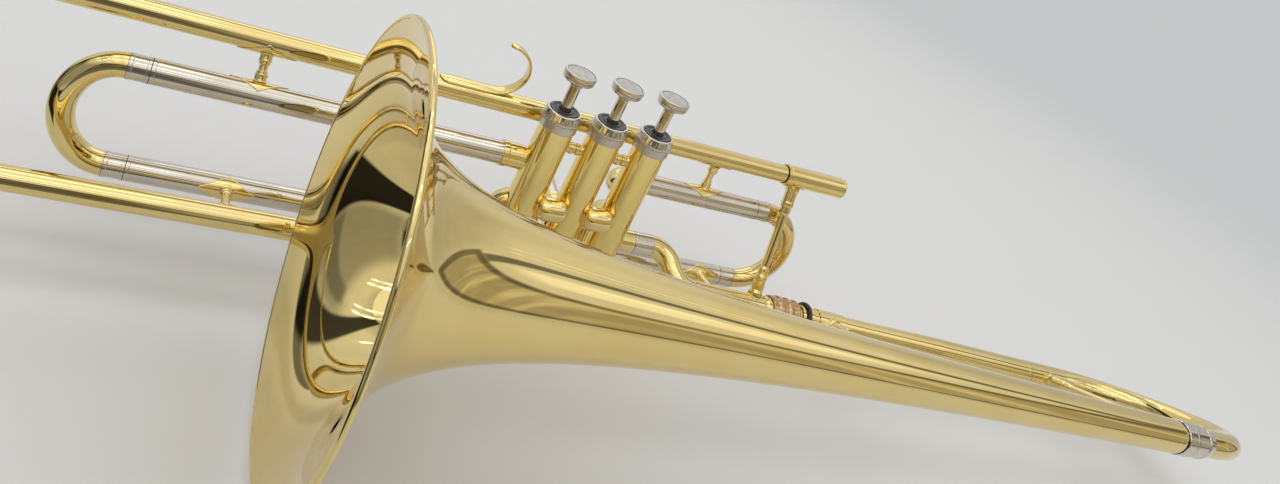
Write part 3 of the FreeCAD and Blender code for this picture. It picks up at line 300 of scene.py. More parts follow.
@dataclass
class Grid:
    """Surface on a grid of rows and columns, with how far each row lies along it."""

    points: Array
    along: Array
    wrap_rows: bool = True
    wrap_columns: bool = True

    def faces(self) -> Array:
        """Quads of the grid as rows of four point numbers, turned outwards by the enclosed volume."""
        rows, columns = self.points.shape[:2]
        i = np.arange(rows if self.wrap_rows else rows - 1)[:, None]
        j = np.arange(columns if self.wrap_columns else columns - 1)[None, :]
        i2, j2 = (i + 1) % rows, (j + 1) % columns
        quads = np.stack(np.broadcast_arrays(i * columns + j, i * columns + j2, i2 * columns + j2,
                                             i2 * columns + j), -1).reshape(-1, 4)
        flat = self.points.reshape(-1, 3) - self.points.reshape(-1, 3).mean(0)
        a, b, c, d = (flat[quads[:, k]] for k in range(4))
        volume = np.einsum("ij,ij->i", a, np.cross(b, c)).sum() + np.einsum("ij,ij->i", a,
                                                                            np.cross(c, d)).sum()
        self.flipped = volume < 0
        return quads[:, ::-1] if self.flipped else quads

    def uv(self) -> Array:
        """Distance along and share of the turn for each corner of each quad."""
        rows, columns = self.points.shape[:2]
        count_i = rows if self.wrap_rows else rows - 1
        count_j = columns if self.wrap_columns else columns - 1
        i, j = np.meshgrid(np.arange(count_i), np.arange(count_j), indexing="ij")
        along = np.concatenate([self.along, self.along[:1]])
        u1, u2 = along[i], along[np.minimum(i + 1, len(along) - 1)]
        v1, v2 = j / columns, (j + 1) / columns
        corners = np.stack([np.stack([u1, v1], -1), np.stack([u1, v2], -1), np.stack([u2, v2], -1),
                            np.stack([u2, v1], -1)], 2).reshape(-1, 4, 2)
        return corners[:, ::-1] if self.flipped else corners


def spun(path: Path | Bow, outline: Array, sides: int = 72, closed: bool = True) -> Grid:
    """Outline carried round a path: the point (s, r) goes to path(s) + r (cos a * side + sin a * up).

    Args:
        path: centre line.
        outline: rows of (distance, radius).
        sides: points in each ring.
        closed: whether the last row joins the first.

    Returns:
        The surface.
    """
    point, _, side, up = path.at(outline[:, 0])
    angle = np.arange(sides) * FULL_TURN / sides
    ring = np.cos(angle)[None, :, None] * side[:, None] + np.sin(angle)[None, :, None] * up[:, None]
    points = point[:, None] + outline[:, 1][:, None, None] * ring
    return Grid(points, outline[:, 0].copy(), closed)


def straight(start: Sequence[float], direction: Sequence[float],
             side: Sequence[float] | None = None) -> Path:
    """Unit-long straight path, which distances may overrun at both ends."""
    start = np.asarray(start, float)
    return Path([start, start + unit(direction)], 0.0, side)


def tube(path: Path | Bow, start: float, end: float, outer: float, wall: float, step: float = 0.01,
         sides: int = 72, lip: float = 0.15 * MM) -> Grid:
    """Round tube with a wall, from one distance to another along a path."""
    corners = [(start, outer), (end, outer), (end, outer - wall), (start, outer - wall)]
    return spun(path, divided(soften(corners, lip), step), sides)


def solid_turning(path: Path, corners: Sequence[tuple[float, float]], fillet: float = 0.2 * MM,
                  sides: int = 64) -> Grid:
    """Solid turned piece; its outline starts and ends on the axis."""
    return spun(path, soften(corners, fillet, closed=False), sides, closed=False)


def hollow_turning(path: Path, corners: Sequence[tuple[float, float]], fillet: float = 0.2 * MM,
                   sides: int = 96) -> Grid:
    """Turned piece with a bore; its outline closes on itself."""
    return spun(path, soften(corners, fillet), sides)


def seam(path: Path, place: float, radius: float, width: float = 0.42 * MM) -> Grid:
    """Painted shade: thin near-black ring that fills a joint between two tubes, a hair inside their outer radius,
    in place of the shade in the joint's gap or crease.
    """
    low, high = place - width / 2, place + width / 2
    return spun(path, np.array([(low, radius - 0.5 * MM), (low, radius), (high, radius),
                                (high, radius - 0.5 * MM)]), 80)


def met_by_cylinder(grid: Grid, last: int, heading: Array, axis: Array, line: Array, radius: float) -> Grid:
    """Move a grid's last rows along a heading onto a cylinder, so that a tube's end fits a casing.

    With p the offset from the cylinder's axis and h the heading, both square to that axis, the move m
    solves |p + m h| = radius.

    Args:
        grid: the tube.
        last: rows from this one on are moved.
        heading: direction of the move.
        axis: a point of the cylinder's axis.
        line: the axis's direction.
        radius: the cylinder's radius.

    Returns:
        The same grid.
    """
    moved = grid.points[last:]
    flat_heading = unit(heading - (heading @ line) * line)
    offset = moved - axis
    offset = offset - (offset @ line)[..., None] * line
    b = offset @ flat_heading
    c = np.einsum("...i,...i->...", offset, offset) - radius ** 2
    move = -b - np.sqrt(np.maximum(b * b - c, 0.0))
    grid.points[last:] = moved + move[..., None] * flat_heading
    return grid


def fluted(grid: Grid, axis: Array, every: int, depth: float, start_r: float, full_r: float, low: float,
           high: float) -> None:
    """Press upright grooves into a turned grid: each point moves in by depth (1 - cos a) / 2.

    Args:
        grid: piece turned about an upright axis.
        axis: a point of the axis.
        every: points of a ring from one groove to the next; a turns once in as many.
        depth: depth of the grooves.
        start_r: radius beyond which they begin.
        full_r: radius from which they are full.
        low: height above which they lie.
        high: height below which they lie.
    """
    offset = (grid.points - axis) * [1, 1, 0]
    radius = np.maximum(np.linalg.norm(offset, axis=-1, keepdims=True), 1e-9)
    height = grid.points[..., 2:3]
    share = np.clip((radius - start_r) / max(full_r - start_r, 1e-9), 0,
                    1) * (height > low) * (height < high)
    wave = 0.5 - 0.5 * np.cos(np.arange(grid.points.shape[1]) * FULL_TURN / every)
    grid.points = grid.points - offset / radius * share * wave[None, :, None] * depth


@dataclass(frozen=True)
class Flange:
    """Diamond plate wrapped on a tube, with hollow sides and a thin edge."""

    half_length: float = 15.0 * MM
    half_width: float = 9.0 * MM
    thick: float = 0.8 * MM
    edge: float = 0.42 * MM
    hollow: float = 0.95
    rings: int = 14
    spokes: int = 96

    def on(self, centre: Sequence[float], line: Sequence[float], tube_r: float,
           outward: Sequence[float]) -> Grid:
        """Plate on a tube.

        A point of the plate has length a along the tube and width b round it, with
        |a / half_length|^e + |b / half_width|^e = rho^e; the width is wrapped by the angle b / radius.
        The thickness falls from the middle to the edge with the square of rho.

        Args:
            centre: point of the tube's axis under the plate's middle.
            line: direction of the tube.
            tube_r: the tube's outer radius.
            outward: direction from the axis to the plate.

        Returns:
            Closed surface.
        """
        along = unit(line)
        out = np.asarray(outward, float)
        out = unit(out - (out @ along) * along)
        side = np.cross(along, out)
        rho = np.concatenate([np.linspace(0.0, 1.0, self.rings), [1.0], np.linspace(1.0, 0.0, 5)])
        top = self.edge + (self.thick - self.edge) * (1 - np.linspace(0.0, 1.0, self.rings) ** 2)
        height = np.concatenate([top, [self.edge * 0.4], np.full(5, -0.05 * MM)])
        theta = np.arange(self.spokes) * FULL_TURN / self.spokes
        c, s = np.cos(theta), np.sin(theta)
        reach = (np.abs(c) ** self.hollow + np.abs(s) ** self.hollow) ** (-1 / self.hollow)
        a = rho[:, None] * (reach * c) * self.half_length
        b = rho[:, None] * (reach * s) * min(self.half_width, tube_r * 1.3)
        angle = b / tube_r
        radius = tube_r + height[:, None]
        points = (np.asarray(centre, float) + a[..., None] * along
                  + (radius * np.cos(angle))[..., None] * out + (radius * np.sin(angle))[..., None] * side)
        return Grid(points, rho * self.half_length, wrap_rows=False)


class Sock:
    """Shader value that takes part in sums: each operator adds its Math node."""

    def __init__(self, shade: "Shade", link: bpy.types.NodeSocket) -> None:
        """Wrap an output socket of a material."""
        self.shade = shade
        self.link = link

    def _math(self, operation: str, *values: "Sock | float", clamp: bool = False) -> "Sock":
        """Math node on the given values."""
        return self.shade.node("Math", {"operation": operation, "use_clamp": clamp},
                               dict(enumerate(values)))

    def __add__(self, other: "Sock | float") -> "Sock":
        """Sum."""
        return self._math("ADD", self, other)

    def __sub__(self, other: "Sock | float") -> "Sock":
        """Difference."""
        return self._math("SUBTRACT", self, other)

    def __rsub__(self, other: float) -> "Sock":
        """Difference from a number."""
        return self._math("SUBTRACT", other, self)

    def __mul__(self, other: "Sock | float") -> "Sock":
        """Product."""
        return self._math("MULTIPLY", self, other)

    def __truediv__(self, other: "Sock | float") -> "Sock":
        """Quotient."""
        return self._math("DIVIDE", self, other)

    __radd__ = __add__
    __rmul__ = __mul__

    def sine(self) -> "Sock":
        """Sine."""
        return self._math("SINE", self)

    def cosine(self) -> "Sock":
        """Cosine."""
        return self._math("COSINE", self)

    def within(self) -> "Sock":
        """Clamped to 0 to 1."""
        return self._math("ADD", self, 0.0, clamp=True)

    def step(self, low: float, high: float) -> "Sock":
        """Smooth step from 0 at low to 1 at high."""
        return self.shade.node("MapRange", {"interpolation_type": "SMOOTHSTEP"},
                               {"Value": self, "From Min": low, "From Max": high})


class Shade:
    """Node tree of a material or world, filled one node at a time."""

    def __init__(self, tree: bpy.types.NodeTree) -> None:
        """Empty the tree."""
        self.tree = tree
        tree.nodes.clear()

    def node(self, kind: str, settings: dict[str, object] | None = None,
             inputs: dict[str | int, object] | None = None, output: str | int = 0) -> Sock:
        """Add a node.

        Args:
            kind: type without its ShaderNode prefix.
            settings: properties, set first.
            inputs: values or links by socket name or number.
            output: which output to return.

        Returns:
            The chosen output.
        """
        made = self.tree.nodes.new("ShaderNode" + kind)
        for name, value in (settings or {}).items():
            setattr(made, name, value)
        for name, value in (inputs or {}).items():
            if isinstance(value, Sock):
                self.tree.links.new(value.link, made.inputs[name])
            else:
                made.inputs[name].default_value = value
        return Sock(self, made.outputs[output]) if len(made.outputs) else Sock(self, None)

    def mix(self, first: "Sock | Colour", second: "Sock | Colour", share: "Sock | float",
            blend: str = "MIX") -> Sock:
        """Mix of two colours."""
        def four(value: "Sock | Colour") -> object:
            """Colour with its alpha."""
            return value if isinstance(value, Sock) else (*value, 1.0)
        return self.node("Mix", {"data_type": "RGBA", "blend_type": blend},
                         {0: share, 6: four(first), 7: four(second)}, 2)

    def vector(self, x: "Sock | float", y: "Sock | float", z: "Sock | float") -> Sock:
        """Vector from three values."""
        return self.node("CombineXYZ", {}, {0: x, 1: y, 2: z})

    def noise(self, vector: Sock, scale: float, detail: float = 3.0, roughness: float = 0.5) -> Sock:
        """Noise value of about 0 to 1."""
        return self.node("TexNoise", {}, {"Vector": vector, "Scale": scale, "Detail": detail,
                                          "Roughness": roughness})

    def parts(self, vector: Sock) -> tuple[Sock, Sock, Sock]:
        """The three values of a vector."""
        made = self.tree.nodes.new("ShaderNodeSeparateXYZ")
        self.tree.links.new(vector.link, made.inputs[0])
        return tuple(Sock(self, made.outputs[k]) for k in range(3))


class Grain(Enum):
    """Which way the polishing lines run."""

    ALONG = "along the tube"
    ROUND = "round the tube"
    X_LINES = "along the object's X axis"
    Z_ROUND = "rings along the object's Z axis"
    NONE = "none"


@dataclass(frozen=True)
class Metal:
    """Polished metal with polishing lines, faint clouding and a clear lacquer."""

    name: str
    slot: str
    colour: Colour
    second: Colour
    roughness: float
    spread: float = 0.05
    grain: Grain = Grain.ALONG
    depth: float = 0.10
    fine: float = 1.0
    lacquer: float = 0.0
    wave: float = 0.0

    def _lines(self, shade: Shade) -> Sock:
        """Noise drawn out along the grain: high frequency across it and low frequency along it."""
        if self.grain in (Grain.ALONG, Grain.ROUND):
            u, v, _ = shade.parts(shade.node("TexCoord", {}, {}, "UV"))
            turn = v * FULL_TURN
            low, high = (1.2, 34.0) if self.grain is Grain.ALONG else (2100.0, 0.35)
            place = shade.vector(u * (low * self.fine), turn.cosine() * (high * self.fine),
                                 turn.sine() * (high * self.fine))
            return shade.noise(place, 1.0, 4.0, 0.6)
        x, y, z = shade.parts(shade.node("TexCoord", {}, {}, "Object"))
        if self.grain is Grain.Z_ROUND:
            return shade.noise(shade.vector(x * 12.0, y * 12.0, z * (2600.0 * self.fine)), 1.0, 3.0)
        return shade.noise(shade.vector(x * 9.0, y * (900.0 * self.fine), z * (900.0 * self.fine)), 1.0,
                           3.0)

    def fill(self, shade: Shade) -> None:
        """Add the metal's nodes."""
        place = shade.node("TexCoord", {}, {}, "Object")
        cloud = shade.noise(place, 34.0, 4.0, 0.55)
        inputs: dict[str | int, object] = {"Metallic": 1.0, "Coat Weight": self.lacquer,
                                           "Coat Roughness": 0.04, "Coat IOR": 1.5}
        tone = cloud.step(0.35, 0.72)
        rough = cloud * self.spread + (self.roughness - self.spread * 0.5)
        bump = None
        if self.grain is not Grain.NONE:
            lines = self._lines(shade)
            tone = (tone * 0.6 + lines * 0.5).within()
            rough = (rough + (lines - 0.5) * (self.spread * 1.2)).within()
            bump = shade.node("Bump", {}, {"Strength": self.depth, "Distance": 0.03 * MM, "Height": lines})
        if self.wave:
            slow = shade.noise(place, 17.0, 2.0, 0.4)
            inputs_wave: dict[str | int, object] = {"Strength": 1.0, "Distance": self.wave, "Height": slow}
            if bump is not None:
                inputs_wave["Normal"] = bump
            bump = shade.node("Bump", {}, inputs_wave)
        inputs["Base Color"] = shade.mix(self.colour, self.second, tone)
        inputs["Roughness"] = rough
        if bump is not None:
            inputs["Normal"] = bump
        shade.node("OutputMaterial", {}, {"Surface": shade.node("BsdfPrincipled", {}, inputs)})


@dataclass(frozen=True)
class Plain:
    """Rubber, felt, cork or pearl: a clouded colour with a fine surface."""

    name: str
    slot: str
    colour: Colour
    second: Colour
    roughness: float
    scale: float = 400.0
    depth: float = 0.2
    coat: float = 0.0
    specular: float = 0.5
    ior: float = 1.5

    def fill(self, shade: Shade) -> None:
        """Add the surface's nodes."""
        place = shade.node("TexCoord", {}, {}, "Object")
        speck = shade.noise(place, self.scale, 4.0, 0.6)
        bump = shade.node("Bump", {}, {"Strength": self.depth, "Distance": 0.1 * MM, "Height": speck})
        surface = shade.node("BsdfPrincipled", {}, {
            "Base Color": shade.mix(self.colour, self.second, speck.step(0.35, 0.7)),
            "Roughness": (speck * 0.12 + (self.roughness - 0.06)).within(),
            "Coat Weight": self.coat, "Specular IOR Level": self.specular, "IOR": self.ior,
            "Normal": bump})
        shade.node("OutputMaterial", {}, {"Surface": surface})


Finish = Metal | Plain


def material(finish: Finish) -> bpy.types.Material:
    """The finish's material, built once."""
    known = bpy.data.materials.get(finish.name)
    if known:
        return known
    made = bpy.data.materials.new(finish.name)
    made.use_nodes = True
    finish.fill(Shade(made.node_tree))
    return made


GOLD = (0.83, 0.67, 0.30)
GOLD_DEEP = (0.79, 0.61, 0.235)
SILVER = (0.71, 0.655, 0.56)
SILVER_DEEP = (0.60, 0.545, 0.45)
BRASS_TUBE = Metal("brass_tube", "lacquered_brass", GOLD, GOLD_DEEP, 0.03, 0.02, Grain.ALONG, 0.02, 1.0,
                   0.15)
BRASS_TURNED = Metal("brass_turned", "lacquered_brass", GOLD, GOLD_DEEP, 0.07, 0.04, Grain.ROUND, 0.15, 1.0,
                     0.15)
BRASS_CAST = Metal("brass_cast", "lacquered_brass", GOLD, GOLD_DEEP, 0.07, 0.04, Grain.NONE, 0.0, 1.0, 0.15,
                   0.02 * MM)
BRASS_BELL = Metal("brass_bell", "lacquered_brass", GOLD, GOLD_DEEP, 0.035, 0.02, Grain.ROUND, 0.015, 0.6,
                   0.15,
                   0.05 * MM)
BRASS_CASING = Metal("brass_casing", "lacquered_brass", (0.90, 0.72, 0.28), (0.87, 0.67, 0.23), 0.05, 0.03,
                     Grain.ALONG, 0.04, 1.4,
                     0.15)
NICKEL_TUBE = Metal("nickel_tube", "nickel_silver", SILVER, SILVER_DEEP, 0.035, 0.03, Grain.ALONG, 0.05,
                    1.0)
NICKEL_TURNED = Metal("nickel_turned", "nickel_silver", SILVER, SILVER_DEEP, 0.07, 0.04, Grain.ROUND, 0.12)
NICKEL_SATIN = Metal("nickel_satin", "nickel_silver", (0.66, 0.62, 0.55), (0.55, 0.51, 0.44), 0.30, 0.10,
                     Grain.ROUND, 0.35, 0.5)
BRONZE = Metal("bronze_turned", "copper_bronze", (0.66, 0.45, 0.23), (0.50, 0.31, 0.15), 0.20, 0.08,
               Grain.ROUND,
               0.3)
MONEL = Metal("piston_metal", "monel", (0.55, 0.54, 0.50), (0.46, 0.44, 0.40), 0.25, 0.08, Grain.Z_ROUND,
              0.2)
STEEL = Metal("spring_wire", "spring_steel", (0.52, 0.52, 0.53), (0.42, 0.42, 0.43), 0.25, 0.06, Grain.NONE)
RUBBER = Plain("black_rubber", "black_rubber", (0.0012, 0.0012, 0.0015), (0.003, 0.003, 0.0035), 0.22,
               500.0, 0.08,
               specular=0.5, ior=1.12)
# Painted shade: near-black colour of the rings that fill the joints between tubes.
JOINT_SHADE = Plain("painted_joint_shade", "nickel_silver", (0.012, 0.009, 0.006), (0.03, 0.022, 0.014), 0.5,
               900.0, 0.1,
               specular=0.2)
INLAY = Plain("satin_inlay", "button_inlay", (0.42, 0.41, 0.38), (0.56, 0.55, 0.52), 0.38, 260.0, 0.45)
CORK = Plain("cork", "cork", (0.40, 0.23, 0.11), (0.58, 0.38, 0.21), 0.8, 900.0, 0.8)


class Piece:
    """One visible piece: grids joined into a mesh, with a finish."""

    def __init__(self, name: str, finish: Finish, *grids: Grid) -> None:
        """Start a piece with its grids."""
        self.name = name
        self.finish = finish
        self.grids = list(grids)

    def build(self, body: str, *nodes: str) -> bpy.types.Object:
        """Make the object, let it ride on a body and stand for CAD nodes.

        Args:
            body: CAD body that the piece moves with.
            nodes: CAD nodes that it replaces.

        Returns:
            The object.
        """
        points: list[Array] = []
        faces: list[Array] = []
        corners: list[Array] = []
        start = 0
        for grid in self.grids:
            points.append(grid.points.reshape(-1, 3))
            faces.append(grid.faces() + start)
            corners.append(grid.uv())
            start += len(points[-1])
        quads = np.concatenate(faces)
        mesh = bpy.data.meshes.new(self.name)
        mesh.from_pydata(np.concatenate(points).tolist(), [], quads.tolist())
        layer = mesh.uv_layers.new(name="Surface")
        layer.data.foreach_set("uv", np.concatenate(corners).astype(np.float32).ravel())
        made = bmesh.new()
        made.from_mesh(mesh)
        bmesh.ops.remove_doubles(made, verts=made.verts, dist=1e-7)
        made.to_mesh(mesh)
        made.free()
        mesh.polygons.foreach_set("use_smooth", np.ones(len(mesh.polygons), bool))
        mesh.materials.append(material(self.finish))
        item = bpy.data.objects.new(self.name, mesh)
        bpy.context.scene.collection.objects.link(item)
        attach(item, body)
        if nodes:
            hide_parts(*nodes)
        log.info("%s: %d faces on %s", self.name, len(mesh.polygons), body)
        return item


def dress(node: str, finish: Finish) -> None:
    """Give a CAD node that stays a finish."""
    item = frame["nodes"][node]
    item.data.materials.clear()
    item.data.materials.append(material(finish))
    log.info("%s: CAD node kept, %s", node, finish.name)


@dataclass(frozen=True)
class Brace:
    """Turned post between two tubes, with stepped sockets and a flange at each end."""

    rod_r: float = 2.3 * MM
    socket_r: float = 3.3 * MM
    socket_length: float = 6.0 * MM
    flange: Flange = Flange()

    def grids(self, first: Array, first_line: Array, first_r: float, second: Array, second_line: Array,
              second_r: float) -> list[Grid]:
        """Post and flanges.

        The post's outline steps from a foot ring to a socket with two beads, then to the rod.

        Args:
            first: point of the first tube's axis.
            first_line: the first tube's direction.
            first_r: its outer radius.
            second: point of the second tube's axis.
            second_line: the second tube's direction.
            second_r: its outer radius.

        Returns:
            The surfaces.
        """
        along = unit(second - first)
        length = float(np.linalg.norm(second - first))
        path = Path([first, second])
        a, b = first_r + 0.1 * MM, length - second_r - 0.1 * MM
        w, r, s = self.socket_length, self.socket_r, self.rod_r
        half = [(0.0, r + 0.7 * MM), (0.10 * w, r + 0.7 * MM), (0.2 * w, r), (0.55 * w, r),
                (0.6 * w, r + 0.25 * MM),
                (0.7 * w, r + 0.25 * MM), (0.76 * w, r - 0.4 * MM), (0.98 * w, r - 0.4 * MM), (1.06 * w, s)]
        corners = [(a, 0.0)] + [(a + d, q) for d, q in half] + [(b - d, q) for d,
                                                                q in reversed(half)] + [(b, 0.0)]
        post = solid_turning(path, corners, 0.18 * MM, 48)
        return [post, self.flange.on(first, first_line, first_r, along),
                self.flange.on(second, second_line, second_r, -along)]


SECTION = next(joint for joint in frame["joints"] if joint["name"] == "bell_section_turn")
SECTION_START = np.array(SECTION["pos_m"], float)
SECTION_LINE = unit(SECTION["axis"])
X_LINE = np.array([1.0, 0.0, 0.0])
Y_LINE = np.array([0.0, 1.0, 0.0])
Z_LINE = np.array([0.0, 0.0, 1.0])
ROOT = "valve_section"


@dataclass
class Mouthpipe:
    """Receiver, mouthpipe, front bow, return tube, little-finger hook and water key."""

    receiver_bore_length: float = 28 * MM
    lead_rear_r: float = 5.9 * MM
    taper_end: float = 440 * MM
    wall: float = 0.4 * MM
    ferrule_wall: float = 0.6 * MM
    hook_width: float = 9.0 * MM
    hook_thick: float = 1.5 * MM
    hook_saddle: float = 1.7 * MM

    def build(self) -> None:
        """Make every piece of the mouthpipe and the tube that comes back."""
        self._receiver()
        self._tubes()
        self._front_bow()
        self._return_elbow()
        self._hook()
        for node in ("water_key_lever", "water_key_saddle"):
            dress(node, BRASS_CAST)
        dress("water_key_cork", CORK)

    def lead_radius(self, x: float) -> float:
        """Outer radius of the mouthpipe at x."""
        end_r = Place.of("return_tube").half[1]
        start = Place.of("mouthpiece_receiver").high[0]
        share = min(1.0, max(0.0, (x - start) / (self.taper_end - start)))
        return self.lead_rear_r + (end_r - self.lead_rear_r) * share

    def _receiver(self) -> None:
        """Receiver: a tube with a rolled mouth and a bead where the mouthpipe goes in."""
        box = Place.of("mouthpiece_receiver")
        r, end = box.half[1], box.high[0]
        bore = frame["record"]["mounts"][0]["dims"]["r_mm"] * MM
        seat = self.receiver_bore_length
        corners = [(0.0, bore), (0.0, r - 0.6 * MM), (0.3 * MM, r - 0.15 * MM), (1.0 * MM, r),
                   (2.0 * MM, r),
                   (2.3 * MM, r - 0.2 * MM), (end - 2.6 * MM, r - 0.2 * MM),
                   (end - 2.3 * MM, r - 0.35 * MM), (end - 1.9 * MM, r - 0.35 * MM), (end - 1.6 * MM, r),
                   (end, r - 0.1 * MM), (end, self.lead_rear_r + 0.02 * MM),
                   (seat, self.lead_rear_r + 0.02 * MM),
                   (seat, bore)]
        grid = spun(straight((0, 0, 0), X_LINE), divided(soften(corners, 0.2 * MM), 8 * MM), 96)
        Piece("receiver", BRASS_TUBE, grid).build(ROOT, "mouthpiece_receiver")
        # Painted shade: dark ring in the crease where the mouthpipe enters the receiver.
        Piece("receiver_seam", JOINT_SHADE, seam(straight((0, 0, 0), X_LINE), end + 0.2 * MM,
                                            self.lead_rear_r + 0.35 * MM,
                                            0.5 * MM)).build(ROOT)

    def _tubes(self) -> None:
        """Mouthpipe, tapered to the rear, and the straight return tube."""
        box = Place.of("leadpipe")
        end_r, start = Place.of("return_tube").half[1], Place.of("mouthpiece_receiver").high[0]
        outer = [(box.low[0], self.lead_rear_r), (start, self.lead_rear_r), (self.taper_end, end_r),
                 (box.high[0], end_r)]
        inner = [(s, r - self.wall) for s, r in reversed(outer)]
        grid = spun(straight((0, 0, 0), X_LINE), divided(soften(outer + inner, 0.12 * MM), 10 * MM))
        Piece("mouthpipe", BRASS_TUBE, grid).build(ROOT, "leadpipe")
        box = Place.of("return_tube")
        path = straight(box.centre * [0, 1, 1], X_LINE)
        Piece("return_tube_shell", BRASS_TUBE, tube(path, box.low[0], box.high[0], end_r, self.wall)).build(
            ROOT, "return_tube")

    def _front_bow(self) -> None:
        """Half-round bow with its drain nipple, and a sleeve over each of its joints."""
        top = Place.of("leadpipe")
        low = Place.of("return_tube")
        r = low.half[1]
        first = np.array([top.high[0], 0.0, 0.0])
        second = low.centre * [0, 1, 1] + first * [1, 0, 0]
        depth = float(np.linalg.norm(second - first)) / 2
        path = Bow(first, second, X_LINE, depth)
        crown = (first + second) / 2 + X_LINE * (depth + r)
        nipple = hollow_turning(straight(crown, X_LINE), [
            (-0.5 * MM, 3.0 * MM), (0.8 * MM, 3.0 * MM), (1.2 * MM, 2.6 * MM), (3.2 * MM, 2.6 * MM),
            (3.5 * MM, 3.0 * MM), (4.0 * MM, 3.0 * MM), (4.0 * MM, 1.6 * MM), (-0.5 * MM, 1.6 * MM)],
                                0.1 * MM, 40)
        Piece("front_bow_shell", BRASS_TUBE, tube(path, 0.0, path.length, r, self.wall, 3 * MM),
              nipple).build(
            ROOT, "front_bow")
        ferrules = []
        box = Place.of("front_bow_ferrules")
        big = r + self.ferrule_wall
        for centre in (first, second):
            ferrules.append(hollow_turning(straight(centre * [0, 1, 1], X_LINE), [
                (box.low[0], big - 0.3 * MM), (box.low[0] + 0.6 * MM, big), (box.low[0] + 2 * MM, big),
                (box.low[0] + 2.3 * MM, big - 0.25 * MM), (box.high[0] - 1.2 * MM, big - 0.25 * MM),
                (box.high[0] - 0.9 * MM, big), (box.high[0], big), (box.high[0], r), (box.low[0], r)]))
        Piece("front_ferrules", BRASS_TURNED, *ferrules).build(ROOT, "front_bow_ferrules")

    def _return_elbow(self) -> None:
        """Elbow from the return tube into the third casing, with its collar."""
        line = Place.of("return_tube")
        valve = Place.of("button_3").centre
        r, z, y = line.half[1], line.centre[2], line.centre[1]
        casing_r = ValveBlock.casing_r
        path = Path([(line.low[0], y, z), (valve[0], y, z), (valve[0], valve[1] + casing_r * 0.7, z)],
                    20 * MM)
        outline = divided(soften([(0, r), (path.length, r + 0.5 * MM), (path.length, r - self.wall),
                                  (0, r - self.wall)], 0.1 * MM), 2.5 * MM)
        bend = spun(path, outline)
        collar = hollow_turning(straight((0, y, z), X_LINE), [
            (line.low[0] - 8 * MM, r + 0.3 * MM), (line.low[0] - 7 * MM, r + self.ferrule_wall),
            (line.low[0] + 7 * MM, r + self.ferrule_wall), (line.low[0] + 8 * MM, r + 0.3 * MM),
            (line.low[0] + 8 * MM, r), (line.low[0] - 8 * MM, r)])
        Piece("return_elbow_shell", BRASS_TUBE, bend, collar).build(ROOT, "return_elbow")

    def _hook(self) -> None:
        """Strip on the mouthpipe that curls up for the little finger.

        The strip's middle line runs back along the tube and then round three quarters of a half circle;
        its cross-section is a rounded bar, bent to the tube's curve where it lies on it.
        """
        box = Place.of("finger_hook")
        tube_r = self.lead_radius(box.centre[0])
        top = tube_r + self.hook_saddle
        radius = (box.high[2] - top + self.hook_thick) / 2
        bend = radius - self.hook_thick / 2
        rear = box.low[0] + radius
        front, low_z = box.high[0], top - self.hook_thick / 2
        high_z = box.high[2] - self.hook_thick / 2
        path = Path([(front, 0, low_z), (rear - bend, 0, low_z), (rear - bend, 0, high_z),
                     (rear + 1.5 * MM, 0, high_z)],
                    bend, Z_LINE)
        flat = front - rear
        s = np.concatenate([np.linspace(0, 6 * MM, 16), np.linspace(6.5 * MM, path.length, 90)])
        nose = np.clip(s / (6 * MM), 0, 1)
        tip = np.clip((path.length - s) / (4 * MM), 0, 1)
        taper = 1 - 0.30 * np.clip((s - flat) / (path.length - flat), 0, 1)
        width = 0.5 * self.hook_width * np.sqrt(1 - (1 - nose) ** 2) * np.sqrt(1 - (1 - tip) ** 2
                                                                               * 0.9) * taper
        width = np.maximum(width, 0.05 * MM)
        on_tube = 1 - np.clip((s - flat * 0.75) / (flat * 0.5), 0, 1)
        thick = self.hook_thick * (0.55 + 0.45 * np.minimum(nose, 1)) * (1.0 + 0.3
                                                                         * np.clip((s - flat) / flat, 0, 1))
        angle = np.arange(40) * FULL_TURN / 40
        c, d = np.cos(angle), np.sin(angle)
        across = np.sign(c) * np.abs(c) ** 0.5 * width[:, None]
        lift = np.sign(d) * np.abs(d) ** 0.7 * thick[:, None] / 2
        sag = (np.sqrt(np.maximum(top ** 2 - across ** 2, 0)) - top) * on_tube[:, None]
        lift = np.where(d < 0, lift - on_tube[:, None] * 0.6 * MM, lift)
        point, _, side, up = path.at(s)
        points = point[:, None] + (lift + sag)[..., None] * side[:, None] + across[..., None] * up[:, None]
        caps = [np.repeat(points[k].mean(0)[None, None], 40, 1) for k in (0, -1)]
        grid = Grid(np.concatenate([caps[0], points, caps[1]]), np.concatenate([s[:1], s, s[-1:]]), False)
        Piece("little_finger_hook", BRASS_CAST, grid).build(ROOT, "finger_hook")


